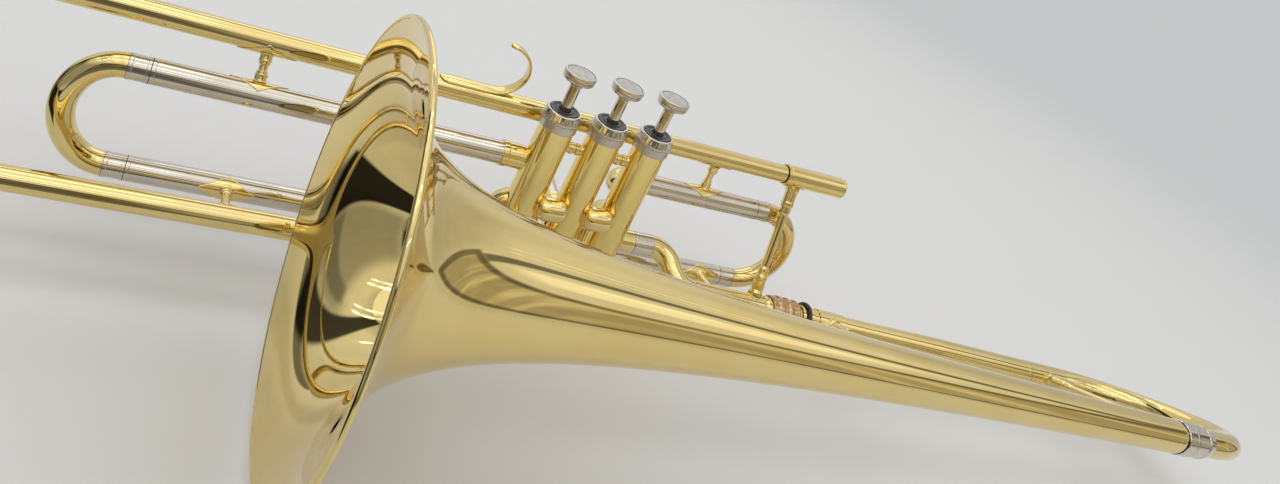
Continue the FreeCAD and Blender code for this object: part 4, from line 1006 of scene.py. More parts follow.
@dataclass
class ValveBlock:
    """Three casings with their knuckles, crooks, spacers, caps and felts."""

    casing_r: float = 10.9 * MM
    bore_r: float = 9.95 * MM
    stub_r: float = 7.5 * MM
    stub_bore: float = 6.5 * MM
    port_z: float = -54.6 * MM
    crook_half: float = 10.5 * MM
    cap_flutes: int = 36

    def build(self) -> None:
        """Make the block."""
        self.axes = {n: Place.of(f"button_{n}").centre * [1, 1, 0] for n in (1, 2, 3)}
        for n in (1, 2, 3):
            self._casing(n)
            self._cap(n)
            self._bottom_cap(n)
            self._felt(n)
        self._spacers()
        self._crooks()

    def _knuckle(self, n: int, points: Sequence[Sequence[float]], bend: float) -> list[Grid]:
        """Bent stub from a slide leg to casing n, with a collar at its mouth and an end cut to the casing."""
        path = Path(points, bend)
        end = path.length
        r, bore = self.stub_r, self.stub_bore
        outline = soften([(end, bore), (0, bore), (0, r + 0.35 * MM), (3.2 * MM, r + 0.35 * MM),
                          (3.6 * MM, r),
                          (end - 2.5 * MM, r), (end, r + 0.5 * MM)], 0.2 * MM, closed=False)
        outline = divided(outline, 1.5 * MM, closed=False)
        grid = spun(path, outline, 64, closed=False)
        heading = unit(np.asarray(points[-1], float) - np.asarray(points[-2], float))
        ends = np.isclose(outline[:, 0], end)
        first = int(np.flatnonzero(ends)[np.flatnonzero(ends)
                                         > 3][0]) if ends[4:].any() else len(outline) - 1
        met_by_cylinder(grid, first, heading, self.axes[n], Z_LINE, self.casing_r - 0.4 * MM)
        start = Grid(grid.points[:1], grid.along[:1], False)
        met_by_cylinder(start, 0, heading, self.axes[n], Z_LINE, self.casing_r - 0.4 * MM)
        grid.points[:1] = start.points
        grid.wrap_rows = True
        return [grid]

    def _stubs(self, n: int) -> list[Grid]:
        """Knuckles of casing n."""
        x, y = self.axes[n][0], self.axes[n][1]
        low_z, top_z = self._leg_heights(n)
        if n == 3:
            leg_y = Place.of("slide_3_outer_legs").centre[1]
            knee = x + 12.5 * MM
            return (self._knuckle(3, [(x + 24.4 * MM, leg_y, top_z), (knee, leg_y, top_z),
                                      (x + 4 * MM, y - 3.2 * MM, top_z - 1.3 * MM)], 8 * MM)
                    + self._knuckle(3, [(x + 34.2 * MM, leg_y, low_z), (knee, leg_y, low_z),
                                        (knee, leg_y, self.port_z),
                                        (x + 4 * MM, y - 3.2 * MM, self.port_z)], 8.4 * MM))
        if n == 1:
            leg_y = Place.of("slide_1_outer_legs").centre[1]
            return (self._knuckle(1, [(x - 15.6 * MM, leg_y, top_z), (x + 6.9 * MM, leg_y, top_z),
                                      (x + 2.8 * MM, y - 6 * MM, top_z)], 6.0 * MM)
                    + self._knuckle(1, [(x - 19.6 * MM, leg_y, low_z), (x + 3.9 * MM, leg_y, low_z),
                                        (x + 3.9 * MM, leg_y, self.port_z),
                                        (x + 1.6 * MM, y - 5 * MM, self.port_z)],
                                    7.0 * MM)
                    + self._exit_stub())
        leg_x = Place.of("slide_2_outer_legs").centre[0]
        return [grid for z in (low_z, top_z)
                for grid in self._knuckle(2, [(leg_x, y - 22.4 * MM, z), (leg_x, y - 8 * MM, z)], 0.0)]

    def _leg_heights(self, n: int) -> tuple[float, float]:
        """Heights of the lower and upper leg of slide n."""
        box = Place.of(f"slide_{n}_outer_legs")
        leg_r = ValveSlide.leg_r
        return box.low[2] + leg_r, box.high[2] - leg_r

    def _exit_stub(self) -> list[Grid]:
        """Short stub that carries the exit sleeve."""
        sleeve = Place.of("exit_sleeve")
        start = self.axes[1] + Z_LINE * sleeve.centre[2]
        length = self.axes[1][0] - sleeve.high[0]
        return [tube(straight(start, -X_LINE), self.casing_r * 0.75, length, sleeve.half[1], 1.2 * MM,
                     3 * MM)]

    def _casing(self, n: int) -> None:
        """Casing tube with a narrow band under the cap, and its knuckles."""
        box = Place.of(f"casing_{n}")
        r = self.casing_r
        low, high = box.low[2], box.high[2]
        corners = [(low, r - 0.2 * MM), (low + 8.0 * MM, r - 0.2 * MM), (low + 8.4 * MM, r), (high, r),
                   (high, self.bore_r),
                   (low, self.bore_r)]
        grid = spun(straight(self.axes[n], Z_LINE), divided(soften(corners, 0.15 * MM), 8 * MM), 112)
        Piece(f"casing_{n}_shell", BRASS_CASING, grid).build(ROOT, f"casing_{n}")
        Piece(f"casing_{n}_knuckles", BRASS_CAST, *self._stubs(n)).build(ROOT)

    def _cap(self, n: int) -> None:
        """Satin band on the casing, and above it the fluted, sloping nickel ring."""
        box = Place.of(f"top_cap_{n}")
        low, high = box.low[2], box.high[2]
        r = box.half[0]
        path = straight(self.axes[n], Z_LINE)
        casing_top = Place.of(f"casing_{n}").high[2]
        split = casing_top + 0.9 * MM
        band = hollow_turning(path, [
            (low, self.casing_r + 0.1 * MM), (low, r - 0.7 * MM), (low + 0.5 * MM, r - 0.4 * MM),
                                     (split, r - 0.4 * MM),
            (split, self.casing_r + 0.1 * MM)])
        Piece(f"cap_band_{n}", NICKEL_SATIN, band).build(ROOT, f"top_cap_{n}")
        floor = high - 1.2 * MM - 1.6 * MM
        stem = 3.9 * MM
        felt_r = Place.of("cap_felts").half[1]
        ring = hollow_turning(path, [
            (split, r - 1.6 * MM), (split, r - 0.6 * MM), (split + 0.5 * MM, r), (split + 1.6 * MM, r),
            (split + 2.0 * MM, r - 0.2 * MM), (high - 0.5 * MM, felt_r + 1.3 * MM),
                                     (high, felt_r + 0.9 * MM),
            (high, felt_r), (floor + 1.6 * MM, felt_r), (floor + 1.6 * MM, stem), (floor, stem),
                                     (floor, felt_r - 0.1 * MM),
            (split, felt_r - 0.1 * MM)], 0.18 * MM, self.cap_flutes * 4)
        fluted(ring, self.axes[n], 4, 0.35 * MM, r - 1.0 * MM, r - 0.4 * MM, split, high + r)
        Piece(f"cap_ring_{n}", NICKEL_TURNED, ring).build(ROOT)

    def _bottom_cap(self, n: int) -> None:
        """Bottom cap with a knurled band, a turned foot and a vent."""
        box = Place.of("bottom_caps")
        low, r = box.low[2], (box.high[1] - box.low[1]) / 2
        base = Place.of(f"casing_{n}").low[2]
        flutes = 40
        grid = hollow_turning(straight(self.axes[n], Z_LINE), [
            (low, 2.0 * MM), (low, r - 4.8 * MM), (low + 0.6 * MM, r - 2.8 * MM),
                                                               (low + 1.4 * MM, r - 0.5 * MM),
            (low + 2.0 * MM, r), (base + 5.0 * MM, r), (base + 5.4 * MM, r - 0.4 * MM),
                                                               (base + 5.4 * MM, self.casing_r),
            (base, self.casing_r), (base, self.bore_r), (base + 1.5 * MM, self.bore_r),
                                                               (base + 1.5 * MM, 2.0 * MM)],
            0.18 * MM, flutes * 4)
        fluted(grid, self.axes[n], 4, 0.3 * MM, r - 0.1 * MM, r - 0.1 * MM, low + 2.4 * MM, base + 4.6 * MM)
        Piece(f"bottom_cap_{n}", NICKEL_TURNED, grid).build(ROOT, "bottom_caps")

    def _felt(self, n: int) -> None:
        """Black disc in the cap with a raised collar round the stem."""
        box = Place.of("cap_felts")
        low, high, r = box.low[2], box.high[2], box.half[1]
        grid = hollow_turning(straight(self.axes[n], Z_LINE), [
            (low, 3.9 * MM), (low, r - 0.05 * MM), (high - 0.5 * MM, r - 0.05 * MM), (high, r - 0.6 * MM),
            (high, r - 2.0 * MM), (high - 0.5 * MM, r - 2.6 * MM), (high - 0.5 * MM, 6.0 * MM),
                                                               (high, 5.4 * MM),
            (high, 3.9 * MM)], 0.15 * MM)
        Piece(f"cap_disc_{n}", RUBBER, grid).build(ROOT, "cap_felts")

    def _crooks(self) -> None:
        """Barrels between the casings, rounded at both ends.

        At the share a of its half length, a barrel's radius is r (1 - |a|^4)^(1/2).
        """
        box = Place.of("valve_crooks")
        r = box.half[2]
        share = np.sin(np.linspace(-1, 1, 49) * math.pi / 2)
        radius = r * np.sqrt(np.maximum(1 - share ** 4, 0.0))
        grids = []
        for n in (2, 3):
            middle = (self.axes[n] + self.axes[n - 1]) / 2 * [1, 0,
                                                              0] + np.array([0.0, box.high[1] - r,
                                                                             box.centre[2]])
            grids.append(spun(straight(middle, X_LINE), np.stack([share * self.crook_half, radius], 1), 72,
                              False))
        Piece("crook_barrels", BRASS_CAST, *grids).build(ROOT, "valve_crooks")

    def _spacers(self) -> None:
        """Turned beads between the casings."""
        z = Place.of("valve_spacers").centre[2]
        grids = []
        for n in (2, 3):
            middle = (self.axes[n] + self.axes[n - 1]) / 2 + Z_LINE * z
            half = np.linalg.norm(self.axes[n] - self.axes[n - 1]) / 2 - self.casing_r + 0.5 * MM
            grids.append(solid_turning(straight(middle, X_LINE), [
                (-half, 0.0), (-half, 3.6 * MM), (0.8 * MM - half, 3.2 * MM), (-3.2 * MM, 3.1 * MM),
                                                                  (-3.0 * MM, 3.6 * MM),
                (-0.8 * MM, 3.6 * MM), (-0.4 * MM, 2.4 * MM), (0.4 * MM, 2.4 * MM), (0.8 * MM, 3.6 * MM),
                (3.0 * MM, 3.6 * MM), (3.2 * MM, 3.1 * MM), (half - 0.8 * MM, 3.2 * MM), (half, 3.6 * MM),
                                                                  (half, 0.0)],
                0.3 * MM))
        Piece("casing_spacers", BRASS_TURNED, *grids).build(ROOT, "valve_spacers")


@dataclass
class Valve:
    """Moving part of one valve: button, stem, inlay and piston."""

    number: int
    stem_r: float = 3.5 * MM
    dish_r: float = 8.6 * MM
    knurls: int = 60

    def build(self) -> None:
        """Make the valve."""
        n = self.number
        body = f"valve_{n}"
        box = Place.of(f"button_{n}")
        low, z, r = box.low[2], box.high[2], box.half[0]
        inlay = Place.of(f"button_inlay_{n}")
        path = straight(box.centre * [1, 1, 0], Z_LINE)
        floor = inlay.low[2]
        grid = solid_turning(path, [
            (low, 0.0), (low, self.stem_r + 1.3 * MM), (low + 2.0 * MM, self.stem_r + 1.3 * MM),
            (low + 2.3 * MM, self.stem_r), (z - 9.0 * MM, self.stem_r),
                                    (z - 8.6 * MM, self.stem_r + 0.5 * MM),
            (z - 8.0 * MM, self.stem_r + 0.5 * MM), (z - 7.4 * MM, self.stem_r + 0.1 * MM),
                                    (z - 6.2 * MM, self.stem_r + 0.9 * MM),
            (z - 5.6 * MM, r - 1.6 * MM), (z - 5.3 * MM, r - 0.7 * MM), (z - 4.6 * MM, r - 0.3 * MM),
            (z - 3.9 * MM, r - 0.6 * MM), (z - 3.6 * MM, r - 1.3 * MM), (z - 3.3 * MM, r - 1.3 * MM),
            (z - 3.0 * MM, r - 0.25 * MM), (z - 2.2 * MM, r), (z - 1.1 * MM, r - 0.05 * MM),
            (z - 0.2 * MM, r - 0.5 * MM), (z, r - 1.0 * MM), (z - 0.1 * MM, self.dish_r),
                                    (floor, self.dish_r - 0.02 * MM),
            (floor, 0.0)], 0.2 * MM, self.knurls * 3)
        fluted(grid, box.centre, 3, 0.22 * MM, r - 0.35 * MM, r - 0.35 * MM, z - 3.1 * MM, z - 0.9 * MM)
        Piece(f"finger_button_{n}", NICKEL_TURNED, grid).build(body, f"button_{n}")
        disc = solid_turning(path, [
            (floor, 0.0), (floor, self.dish_r - 0.1 * MM),
                                    (inlay.high[2] - 0.2 * MM, self.dish_r - 0.1 * MM),
            (inlay.high[2], self.dish_r - 0.5 * MM), (inlay.high[2], 5.0 * MM),
                                    (inlay.high[2] - 0.12 * MM, 2.5 * MM),
            (inlay.high[2] - 0.15 * MM, 0.0)], 0.15 * MM, 96)
        Piece(f"finger_inlay_{n}", INLAY, disc).build(body, f"button_inlay_{n}")
        dress(f"piston_{n}", MONEL)
        dress(f"valve_spring_{n}", STEEL)


@dataclass
class ValveSlide:
    """One valve's slide: fixed outer legs, inner legs with their ferrules, and the bow."""

    number: int
    direction: Array
    depth: float
    leg_r: float = 6.95 * MM
    leg_wall: float = 0.5 * MM
    inner_wall: float = 0.45 * MM
    bow_r: float = 6.65 * MM

    def build(self) -> None:
        """Make the slide."""
        n, line = self.number, self.direction
        legs, inner = Place.of(f"slide_{n}_outer_legs"), Place.of(f"slide_{n}_inner_legs")
        axis = int(np.argmax(np.abs(line)))
        sign = line[axis]
        low, high = legs.low[2] + self.leg_r, legs.high[2] - self.leg_r
        mouth = max(sign * legs.low[axis], sign * legs.high[axis])
        root = min(sign * legs.low[axis], sign * legs.high[axis])
        bow = max(sign * inner.low[axis], sign * inner.high[axis])
        leg_end = min(sign * inner.low[axis], sign * inner.high[axis])
        base = legs.centre * (1 - np.abs(line))
        outer, fitted = [], []
        for z in (low, high):
            path = straight(base * [1, 1, 0] + Z_LINE * z, line)
            r = self.leg_r
            outer.append(spun(path, divided(soften([
                (root, r), (mouth - 2.2 * MM, r), (mouth - 1.9 * MM, r - 0.12 * MM), (mouth - 1.7 * MM, r),
                (mouth, r), (mouth, r - self.leg_wall), (root, r - self.leg_wall)], 0.1 * MM), 9 * MM), 80))
            face = mouth + 0.3 * MM
            bead = 0.25 * MM
            fitted.append(spun(path, divided(soften([
                (leg_end, self.leg_r - 0.55 * MM), (face, self.leg_r - 0.55 * MM), (face, r),
                                                     (face + 1.4 * MM, r),
                (face + 1.7 * MM, r - 0.15 * MM), (bow - 2.0 * MM, r - 0.15 * MM),
                                                     (bow - 1.7 * MM, r + bead * 0.4),
                (bow, r), (bow, r - 0.9 * MM), (leg_end, r - 1.0 * MM)], 0.1 * MM), 9 * MM), 80))
        first = base * [1, 1, 0] + Z_LINE * high + line * bow
        second = base * [1, 1, 0] + Z_LINE * low + line * bow
        path = Bow(first, second, line, self.depth)
        bend = tube(path, 0.0, path.length, self.bow_r, self.leg_wall, 2.0 * MM, 80)
        # Painted shade: dark rings in the gaps at the slide's mouths and at its bow joints.
        joints = [seam(straight(base * [1, 1, 0] + Z_LINE * z, line), place, self.leg_r - 0.04 * MM, width)
                  for z in (low, high) for place,
                  width in ((mouth + 0.15 * MM, 0.55 * MM), (bow, 0.4 * MM))]
        Piece(f"slide_{n}_seams", JOINT_SHADE, *joints).build(f"slide_{n}")
        Piece(f"slide_{n}_fixed_legs", NICKEL_TUBE, *outer).build(ROOT, f"slide_{n}_outer_legs")
        Piece(f"slide_{n}_moving_legs", NICKEL_TUBE, *fitted).build(f"slide_{n}", f"slide_{n}_inner_legs")
        Piece(f"slide_{n}_bow_shell", BRASS_TUBE, bend).build(f"slide_{n}", f"slide_{n}_bow")


@dataclass
class Underworks:
    """Exit sleeve and elbow, lower receiver, lock nut and the braces that join the tubes."""

    exit_bend: float = 15.5 * MM
    exit_reach: float = 11.5 * MM
    exit_slant: float = 8.0 * MM
    elbow_r: float = 7.2 * MM
    receiver_r: float = 7.3 * MM
    collar_r: float = 8.4 * MM
    collar_length: float = 18 * MM
    brace_3_x: float = 386 * MM
    brace_1_upper_x: float = 102 * MM
    brace_1_lower_x: float = 76 * MM
    grip_x: float = 38.5 * MM
    grip_station: float = 27 * MM

    def build(self, mouthpipe: Mouthpipe) -> None:
        """Make the pieces.

        Args:
            mouthpipe: gives the tapered tube's radius under the braces.
        """
        self._exit()
        self._lock_nut()
        self._braces(mouthpipe)

    def _exit(self) -> None:
        """Nickel sleeve, brass elbow and the lower receiver with its stepped collar."""
        sleeve = Place.of("exit_sleeve")
        centre = sleeve.centre
        path = straight(centre * [0, 1, 1], X_LINE)
        r = sleeve.half[1]
        # Painted shade: dark ring in the joint at the exit sleeve's end.
        Piece("exit_seam", JOINT_SHADE, seam(path, sleeve.high[0], r - 0.05 * MM, 0.6 * MM)).build(ROOT)
        Piece("exit_sleeve_shell", NICKEL_TUBE, hollow_turning(path, [
            (sleeve.low[0], r - 0.2 * MM), (sleeve.low[0] + 0.6 * MM, r), (sleeve.high[0] - 0.6 * MM, r),
            (sleeve.high[0], r - 0.2 * MM), (sleeve.high[0], r - 1.3 * MM),
                                                                      (sleeve.low[0],
                                                                       r - 1.3 * MM)])).build(
                ROOT, "exit_sleeve")
        corner_x = sleeve.low[0] - self.exit_reach
        station = (corner_x - self.exit_slant - SECTION_START[0]) / SECTION_LINE[0]
        front = station - self.exit_reach - 0.6 * MM
        points = [(sleeve.low[0], centre[1], centre[2]), (corner_x, centre[1], centre[2]),
                  SECTION_START + SECTION_LINE * station, SECTION_START + SECTION_LINE * front]
        bend = Path(points, self.exit_bend)
        Piece("exit_elbow_shell", BRASS_TUBE,
              tube(bend, 0.0, bend.length, self.elbow_r, 1.0 * MM, 1.5 * MM, 80)).build(
            ROOT, "exit_elbow")
        line = straight(SECTION_START, SECTION_LINE)
        c, length = self.collar_r, self.collar_length
        Piece("lower_receiver_shell", BRASS_TURNED, spun(line, divided(soften([
            (0, c), (length - 1 * MM, c), (length + 0.5 * MM, self.receiver_r + 0.3 * MM),
            (length + 2.5 * MM, self.receiver_r), (front - 2.5 * MM, self.receiver_r),
            (front - 2.1 * MM, self.receiver_r + 0.35 * MM), (front, self.receiver_r + 0.35 * MM),
                                                                               (front, 6.3 * MM),
            (22 * MM, 6.3 * MM), (22 * MM, 6.9 * MM), (0, 6.9 * MM)], 0.25 * MM), 8 * MM), 96)).build(
                ROOT, "lower_receiver")

    def _lock_nut(self) -> None:
        """Turned coupling with grooves between its raised rings."""
        r = 10.6 * MM
        front, rear = 14.0 * MM, -9.5 * MM
        line = straight(SECTION_START, SECTION_LINE)
        Piece("lock_nut_shell", BRONZE, hollow_turning(line, [
            (rear, r - 1.6 * MM), (rear + 0.6 * MM, r - 0.7 * MM), (-8.0 * MM, r - 0.3 * MM),
                                                              (-6.6 * MM, r - 0.5 * MM),
            (-6.0 * MM, r - 1.6 * MM), (-3.4 * MM, r - 1.6 * MM), (-2.8 * MM, r - 0.6 * MM), (-1.4 * MM, r),
            (0.2 * MM, r), (1.6 * MM, r - 0.6 * MM), (2.1 * MM, r - 1.7 * MM),
            (3.7 * MM, r - 1.7 * MM), (4.3 * MM, r - 0.6 * MM), (5.6 * MM, r), (8.2 * MM, r),
                                                              (9.8 * MM, r - 0.7 * MM),
            (front - 0.4 * MM, r - 0.8 * MM), (front, r - 1.4 * MM), (front, self.collar_r + 0.1 * MM),
            (-2 * MM, self.collar_r + 0.1 * MM), (-2 * MM, 7.6 * MM), (rear, 7.6 * MM)], 0.6 * MM)).build(
                "lock_nut", "lock_nut")

    def _braces(self, mouthpipe: Mouthpipe) -> None:
        """Four small braces with diamond flanges, and the long brace that the left hand holds."""
        leg_r = ValveSlide.leg_r
        legs_3, legs_1 = Place.of("slide_3_outer_legs"), Place.of("slide_1_outer_legs")
        tube_r = Place.of("return_tube").half[1]
        back = Place.of("return_tube").centre
        x = self.brace_3_x
        upper = Brace().grids(X_LINE * x, X_LINE, mouthpipe.lead_radius(x),
                              np.array([x, legs_3.centre[1], legs_3.high[2] - leg_r]), X_LINE, leg_r)
        lower = Brace().grids(np.array([x, legs_3.centre[1], legs_3.low[2] + leg_r]), X_LINE, leg_r,
                              np.array([x, back[1], back[2]]), X_LINE, tube_r)
        Piece("slide_3_posts", BRASS_TURNED, *upper, *lower).build(ROOT, "slide_3_braces")
        x = self.brace_1_upper_x
        upper = Brace().grids(X_LINE * x, X_LINE, mouthpipe.lead_radius(x),
                              np.array([x, legs_1.centre[1], legs_1.high[2] - leg_r]), X_LINE, leg_r)
        x = self.brace_1_lower_x
        station = (x - SECTION_START[0]) / SECTION_LINE[0]
        lower = Brace().grids(np.array([x, legs_1.centre[1], legs_1.low[2] + leg_r]), X_LINE, leg_r,
                              SECTION_START + SECTION_LINE * station, SECTION_LINE, self.receiver_r)
        Piece("slide_1_posts", BRASS_TURNED, *upper, *lower).build(ROOT, "slide_1_braces")
        receiver_r = Place.of("mouthpiece_receiver").half[1]
        grip = Brace(2.8 * MM, 4.2 * MM, 19 * MM, Flange(9 * MM, 6 * MM)).grids(
            X_LINE * self.grip_x, X_LINE, receiver_r, SECTION_START + SECTION_LINE * self.grip_station,
            SECTION_LINE, self.receiver_r)
        Piece("grip_post", BRASS_TURNED, *grip).build(ROOT, "grip_brace")


@dataclass
class BellSection:
    """Gooseneck, bell with its rim and tail ferrule, and the brace with its nickel rod."""

    flare: float = 13 * MM
    power: float = 0.58
    length: float = 582 * MM
    wall: float = 0.6 * MM
    bead: float = 1.5 * MM
    lap: float = 5 * MM
    ferrule_length: float = 11 * MM
    ferrule_wall: float = 0.6 * MM
    neck_front_r: float = 7.2 * MM
    neck_rear_r: float = 9.3 * MM
    sleeve_r: float = 8.5 * MM
    brace_station: float = -40 * MM
    tuning_joint: float = -249 * MM
    ring_station: float = -17.5 * MM

    def __post_init__(self) -> None:
        """Find the bell's axis from its rim, which is symmetrical about it."""
        box = Place.of("bell_rim")
        self.rim = box.centre
        self.rim_r = float(box.half[1])
        offset = self.rim - SECTION_START
        self.rim_station = float(offset @ SECTION_LINE)
        self.across = offset - self.rim_station * SECTION_LINE
        self.bell_line = straight(self.rim, -SECTION_LINE)
        self.neck_line = straight(SECTION_START, SECTION_LINE)

    def radius(self, distance: Array | float) -> Array | float:
        """Outer radius behind the rim: rim radius times (1 + distance / flare) to the power -power."""
        return self.rim_r * (1 + np.asarray(distance) / self.flare) ** -self.power

    def build(self) -> None:
        """Make the section."""
        self._bell()
        self._gooseneck()
        self._brace()

    def _bell(self) -> None:
        """Horn, wired rim and the nickel ferrule on its tail.

        The wall's inner face lies one wall thickness inside the outer one, square to its slope.
        """
        t = self.length * np.linspace(0, 1, 150) ** 2.4
        slope = self.power * self.radius(t) / (self.flare + t)
        steep = np.hypot(1, slope)
        outer = np.stack([t, np.minimum(self.radius(t), self.rim_r - self.bead)], 1)
        inner = outer + np.stack([-slope, -np.ones_like(slope)], 1) / steep[:, None] * self.wall
        inner[:, 0] = np.maximum(inner[:, 0], 0.0)
        horn = spun(self.bell_line, np.concatenate([outer, inner[::-1]]), 240)
        Piece("bell_shell", BRASS_BELL, horn).build("bell_section", "bell_flare", "bell_throat",
                                                    "bell_horn",
                                                    "bell_tail")
        turn = np.linspace(0, FULL_TURN, 32, endpoint=False)
        bead = np.stack([self.bead * (np.sin(turn) + 0.7),
                         self.rim_r - self.bead + self.bead * np.cos(turn)], 1)
        Piece("bell_rim_wire", BRASS_TUBE, spun(self.bell_line, bead, 240)).build("bell_section",
                                                                                  "bell_rim")
        front = self.length - self.lap
        rear = front + self.ferrule_length
        r = float(self.radius(self.length)) + self.ferrule_wall
        Piece("bell_tail_ferrule", NICKEL_TURNED, hollow_turning(self.bell_line, [
            (front, r - 0.5 * MM), (front + 0.5 * MM, r), (front + 1.6 * MM, r),
                                                                                  (front + 2.0 * MM,
                                                                                   r - 0.2 * MM),
            (rear - 1.6 * MM, r - 0.2 * MM), (rear - 1.2 * MM, r), (rear, r), (rear, 9.1 * MM),
            (self.length + 0.2 * MM, 9.1 * MM), (self.length + 0.2 * MM, r - 0.55 * MM)], 0.15 * MM)).build(
                "bell_section", "bell_ferrule")

    def _gooseneck(self) -> None:
        """Tube from the tenon to the tuning slide, with the brace's sleeve and the rubber ring's seat."""
        f, rear = self.neck_front_r, self.neck_rear_r
        s, ring, end = self.brace_station, self.ring_station, self.tuning_joint
        outer = [(end, rear), (end + 3 * MM, rear), (end + 3.3 * MM, rear - 0.15 * MM),
                 (end + 100 * MM, rear - 0.15 * MM),
                 (s - 12.5 * MM, f + 0.3 * MM), (s - 12 * MM, self.sleeve_r), (s + 12 * MM, self.sleeve_r),
                 (s + 12.5 * MM, f + 0.3 * MM), (ring - 6 * MM, f + 0.3 * MM), (ring - 5.6 * MM, 8.6 * MM),
                 (ring - 1.6 * MM, 8.6 * MM), (ring - 1.5 * MM, 7.9 * MM), (ring + 1.5 * MM, 7.9 * MM),
                 (ring + 1.6 * MM, 8.6 * MM), (ring + 5 * MM, 8.6 * MM), (ring + 5.3 * MM, f), (-3 * MM, f),
                 (-2.8 * MM, 6.85 * MM), (20 * MM, 6.85 * MM)]
        inner = [(20 * MM, 6.1 * MM), (ring, 6.2 * MM), (s - 12 * MM, f - 0.7 * MM),
                 (end + 100 * MM, 8.35 * MM),
                 (end, 8.35 * MM)]
        Piece("gooseneck_shell", BRASS_TUBE,
              spun(self.neck_line, divided(soften(outer + inner, 0.12 * MM), 8 * MM),
                                                  96)).build("bell_section", "gooseneck")
        turn = np.linspace(0, FULL_TURN, 24, endpoint=False)
        section = np.stack([ring + 1.5 * MM * np.sin(turn), 9.4 * MM + 1.5 * MM * np.cos(turn)], 1)
        Piece("rubber_ring", RUBBER, spun(self.neck_line, section, 96)).build("bell_section",
                                                                              "gooseneck_ring")

    def _brace(self) -> None:
        """Two brass sockets with diamond flanges, and the nickel rod between them."""
        across = unit(self.across)
        near = SECTION_START + SECTION_LINE * self.brace_station
        far = near + self.across
        horn_r = float(self.radius(self.rim_station - self.brace_station))
        length = float(np.linalg.norm(self.across))
        reach, bury = 17.5 * MM, 12 * MM
        grids = []
        for start, direction, seat in ((near, across, self.sleeve_r), (far, -across, horn_r)):
            grids.append(hollow_turning(straight(start, direction), [
                (seat, 2.65 * MM), (seat, 5.2 * MM), (seat + 0.9 * MM, 5.0 * MM),
                                                                     (seat + 1.5 * MM, 3.9 * MM),
                (seat + 5.5 * MM, 3.9 * MM), (seat + 5.9 * MM, 4.15 * MM), (seat + 7.1 * MM, 4.15 * MM),
                (seat + 7.5 * MM, 3.9 * MM), (seat + reach - 2.5 * MM, 3.9 * MM),
                                                                     (seat + reach - 2.1 * MM, 4.1 * MM),
                (seat + reach, 4.0 * MM), (seat + reach, 2.65 * MM)], 0.2 * MM, 56))
            grids.append(Flange(11 * MM, 7.5 * MM, 0.9 * MM).on(start, SECTION_LINE, seat, direction))
        Piece("bell_brace_ends", BRASS_TURNED, *grids).build("bell_section", "bell_brace_sockets")
        a, b = self.sleeve_r + reach - bury, length - horn_r - reach + bury
        Piece("bell_brace_bar", NICKEL_TURNED, solid_turning(straight(near, across), [
            (a, 0.0), (a, 2.6 * MM), (b, 2.6 * MM), (b, 0.0)], 0.2 * MM, 48)).build("bell_section",
                                                                                    "bell_brace_rod")


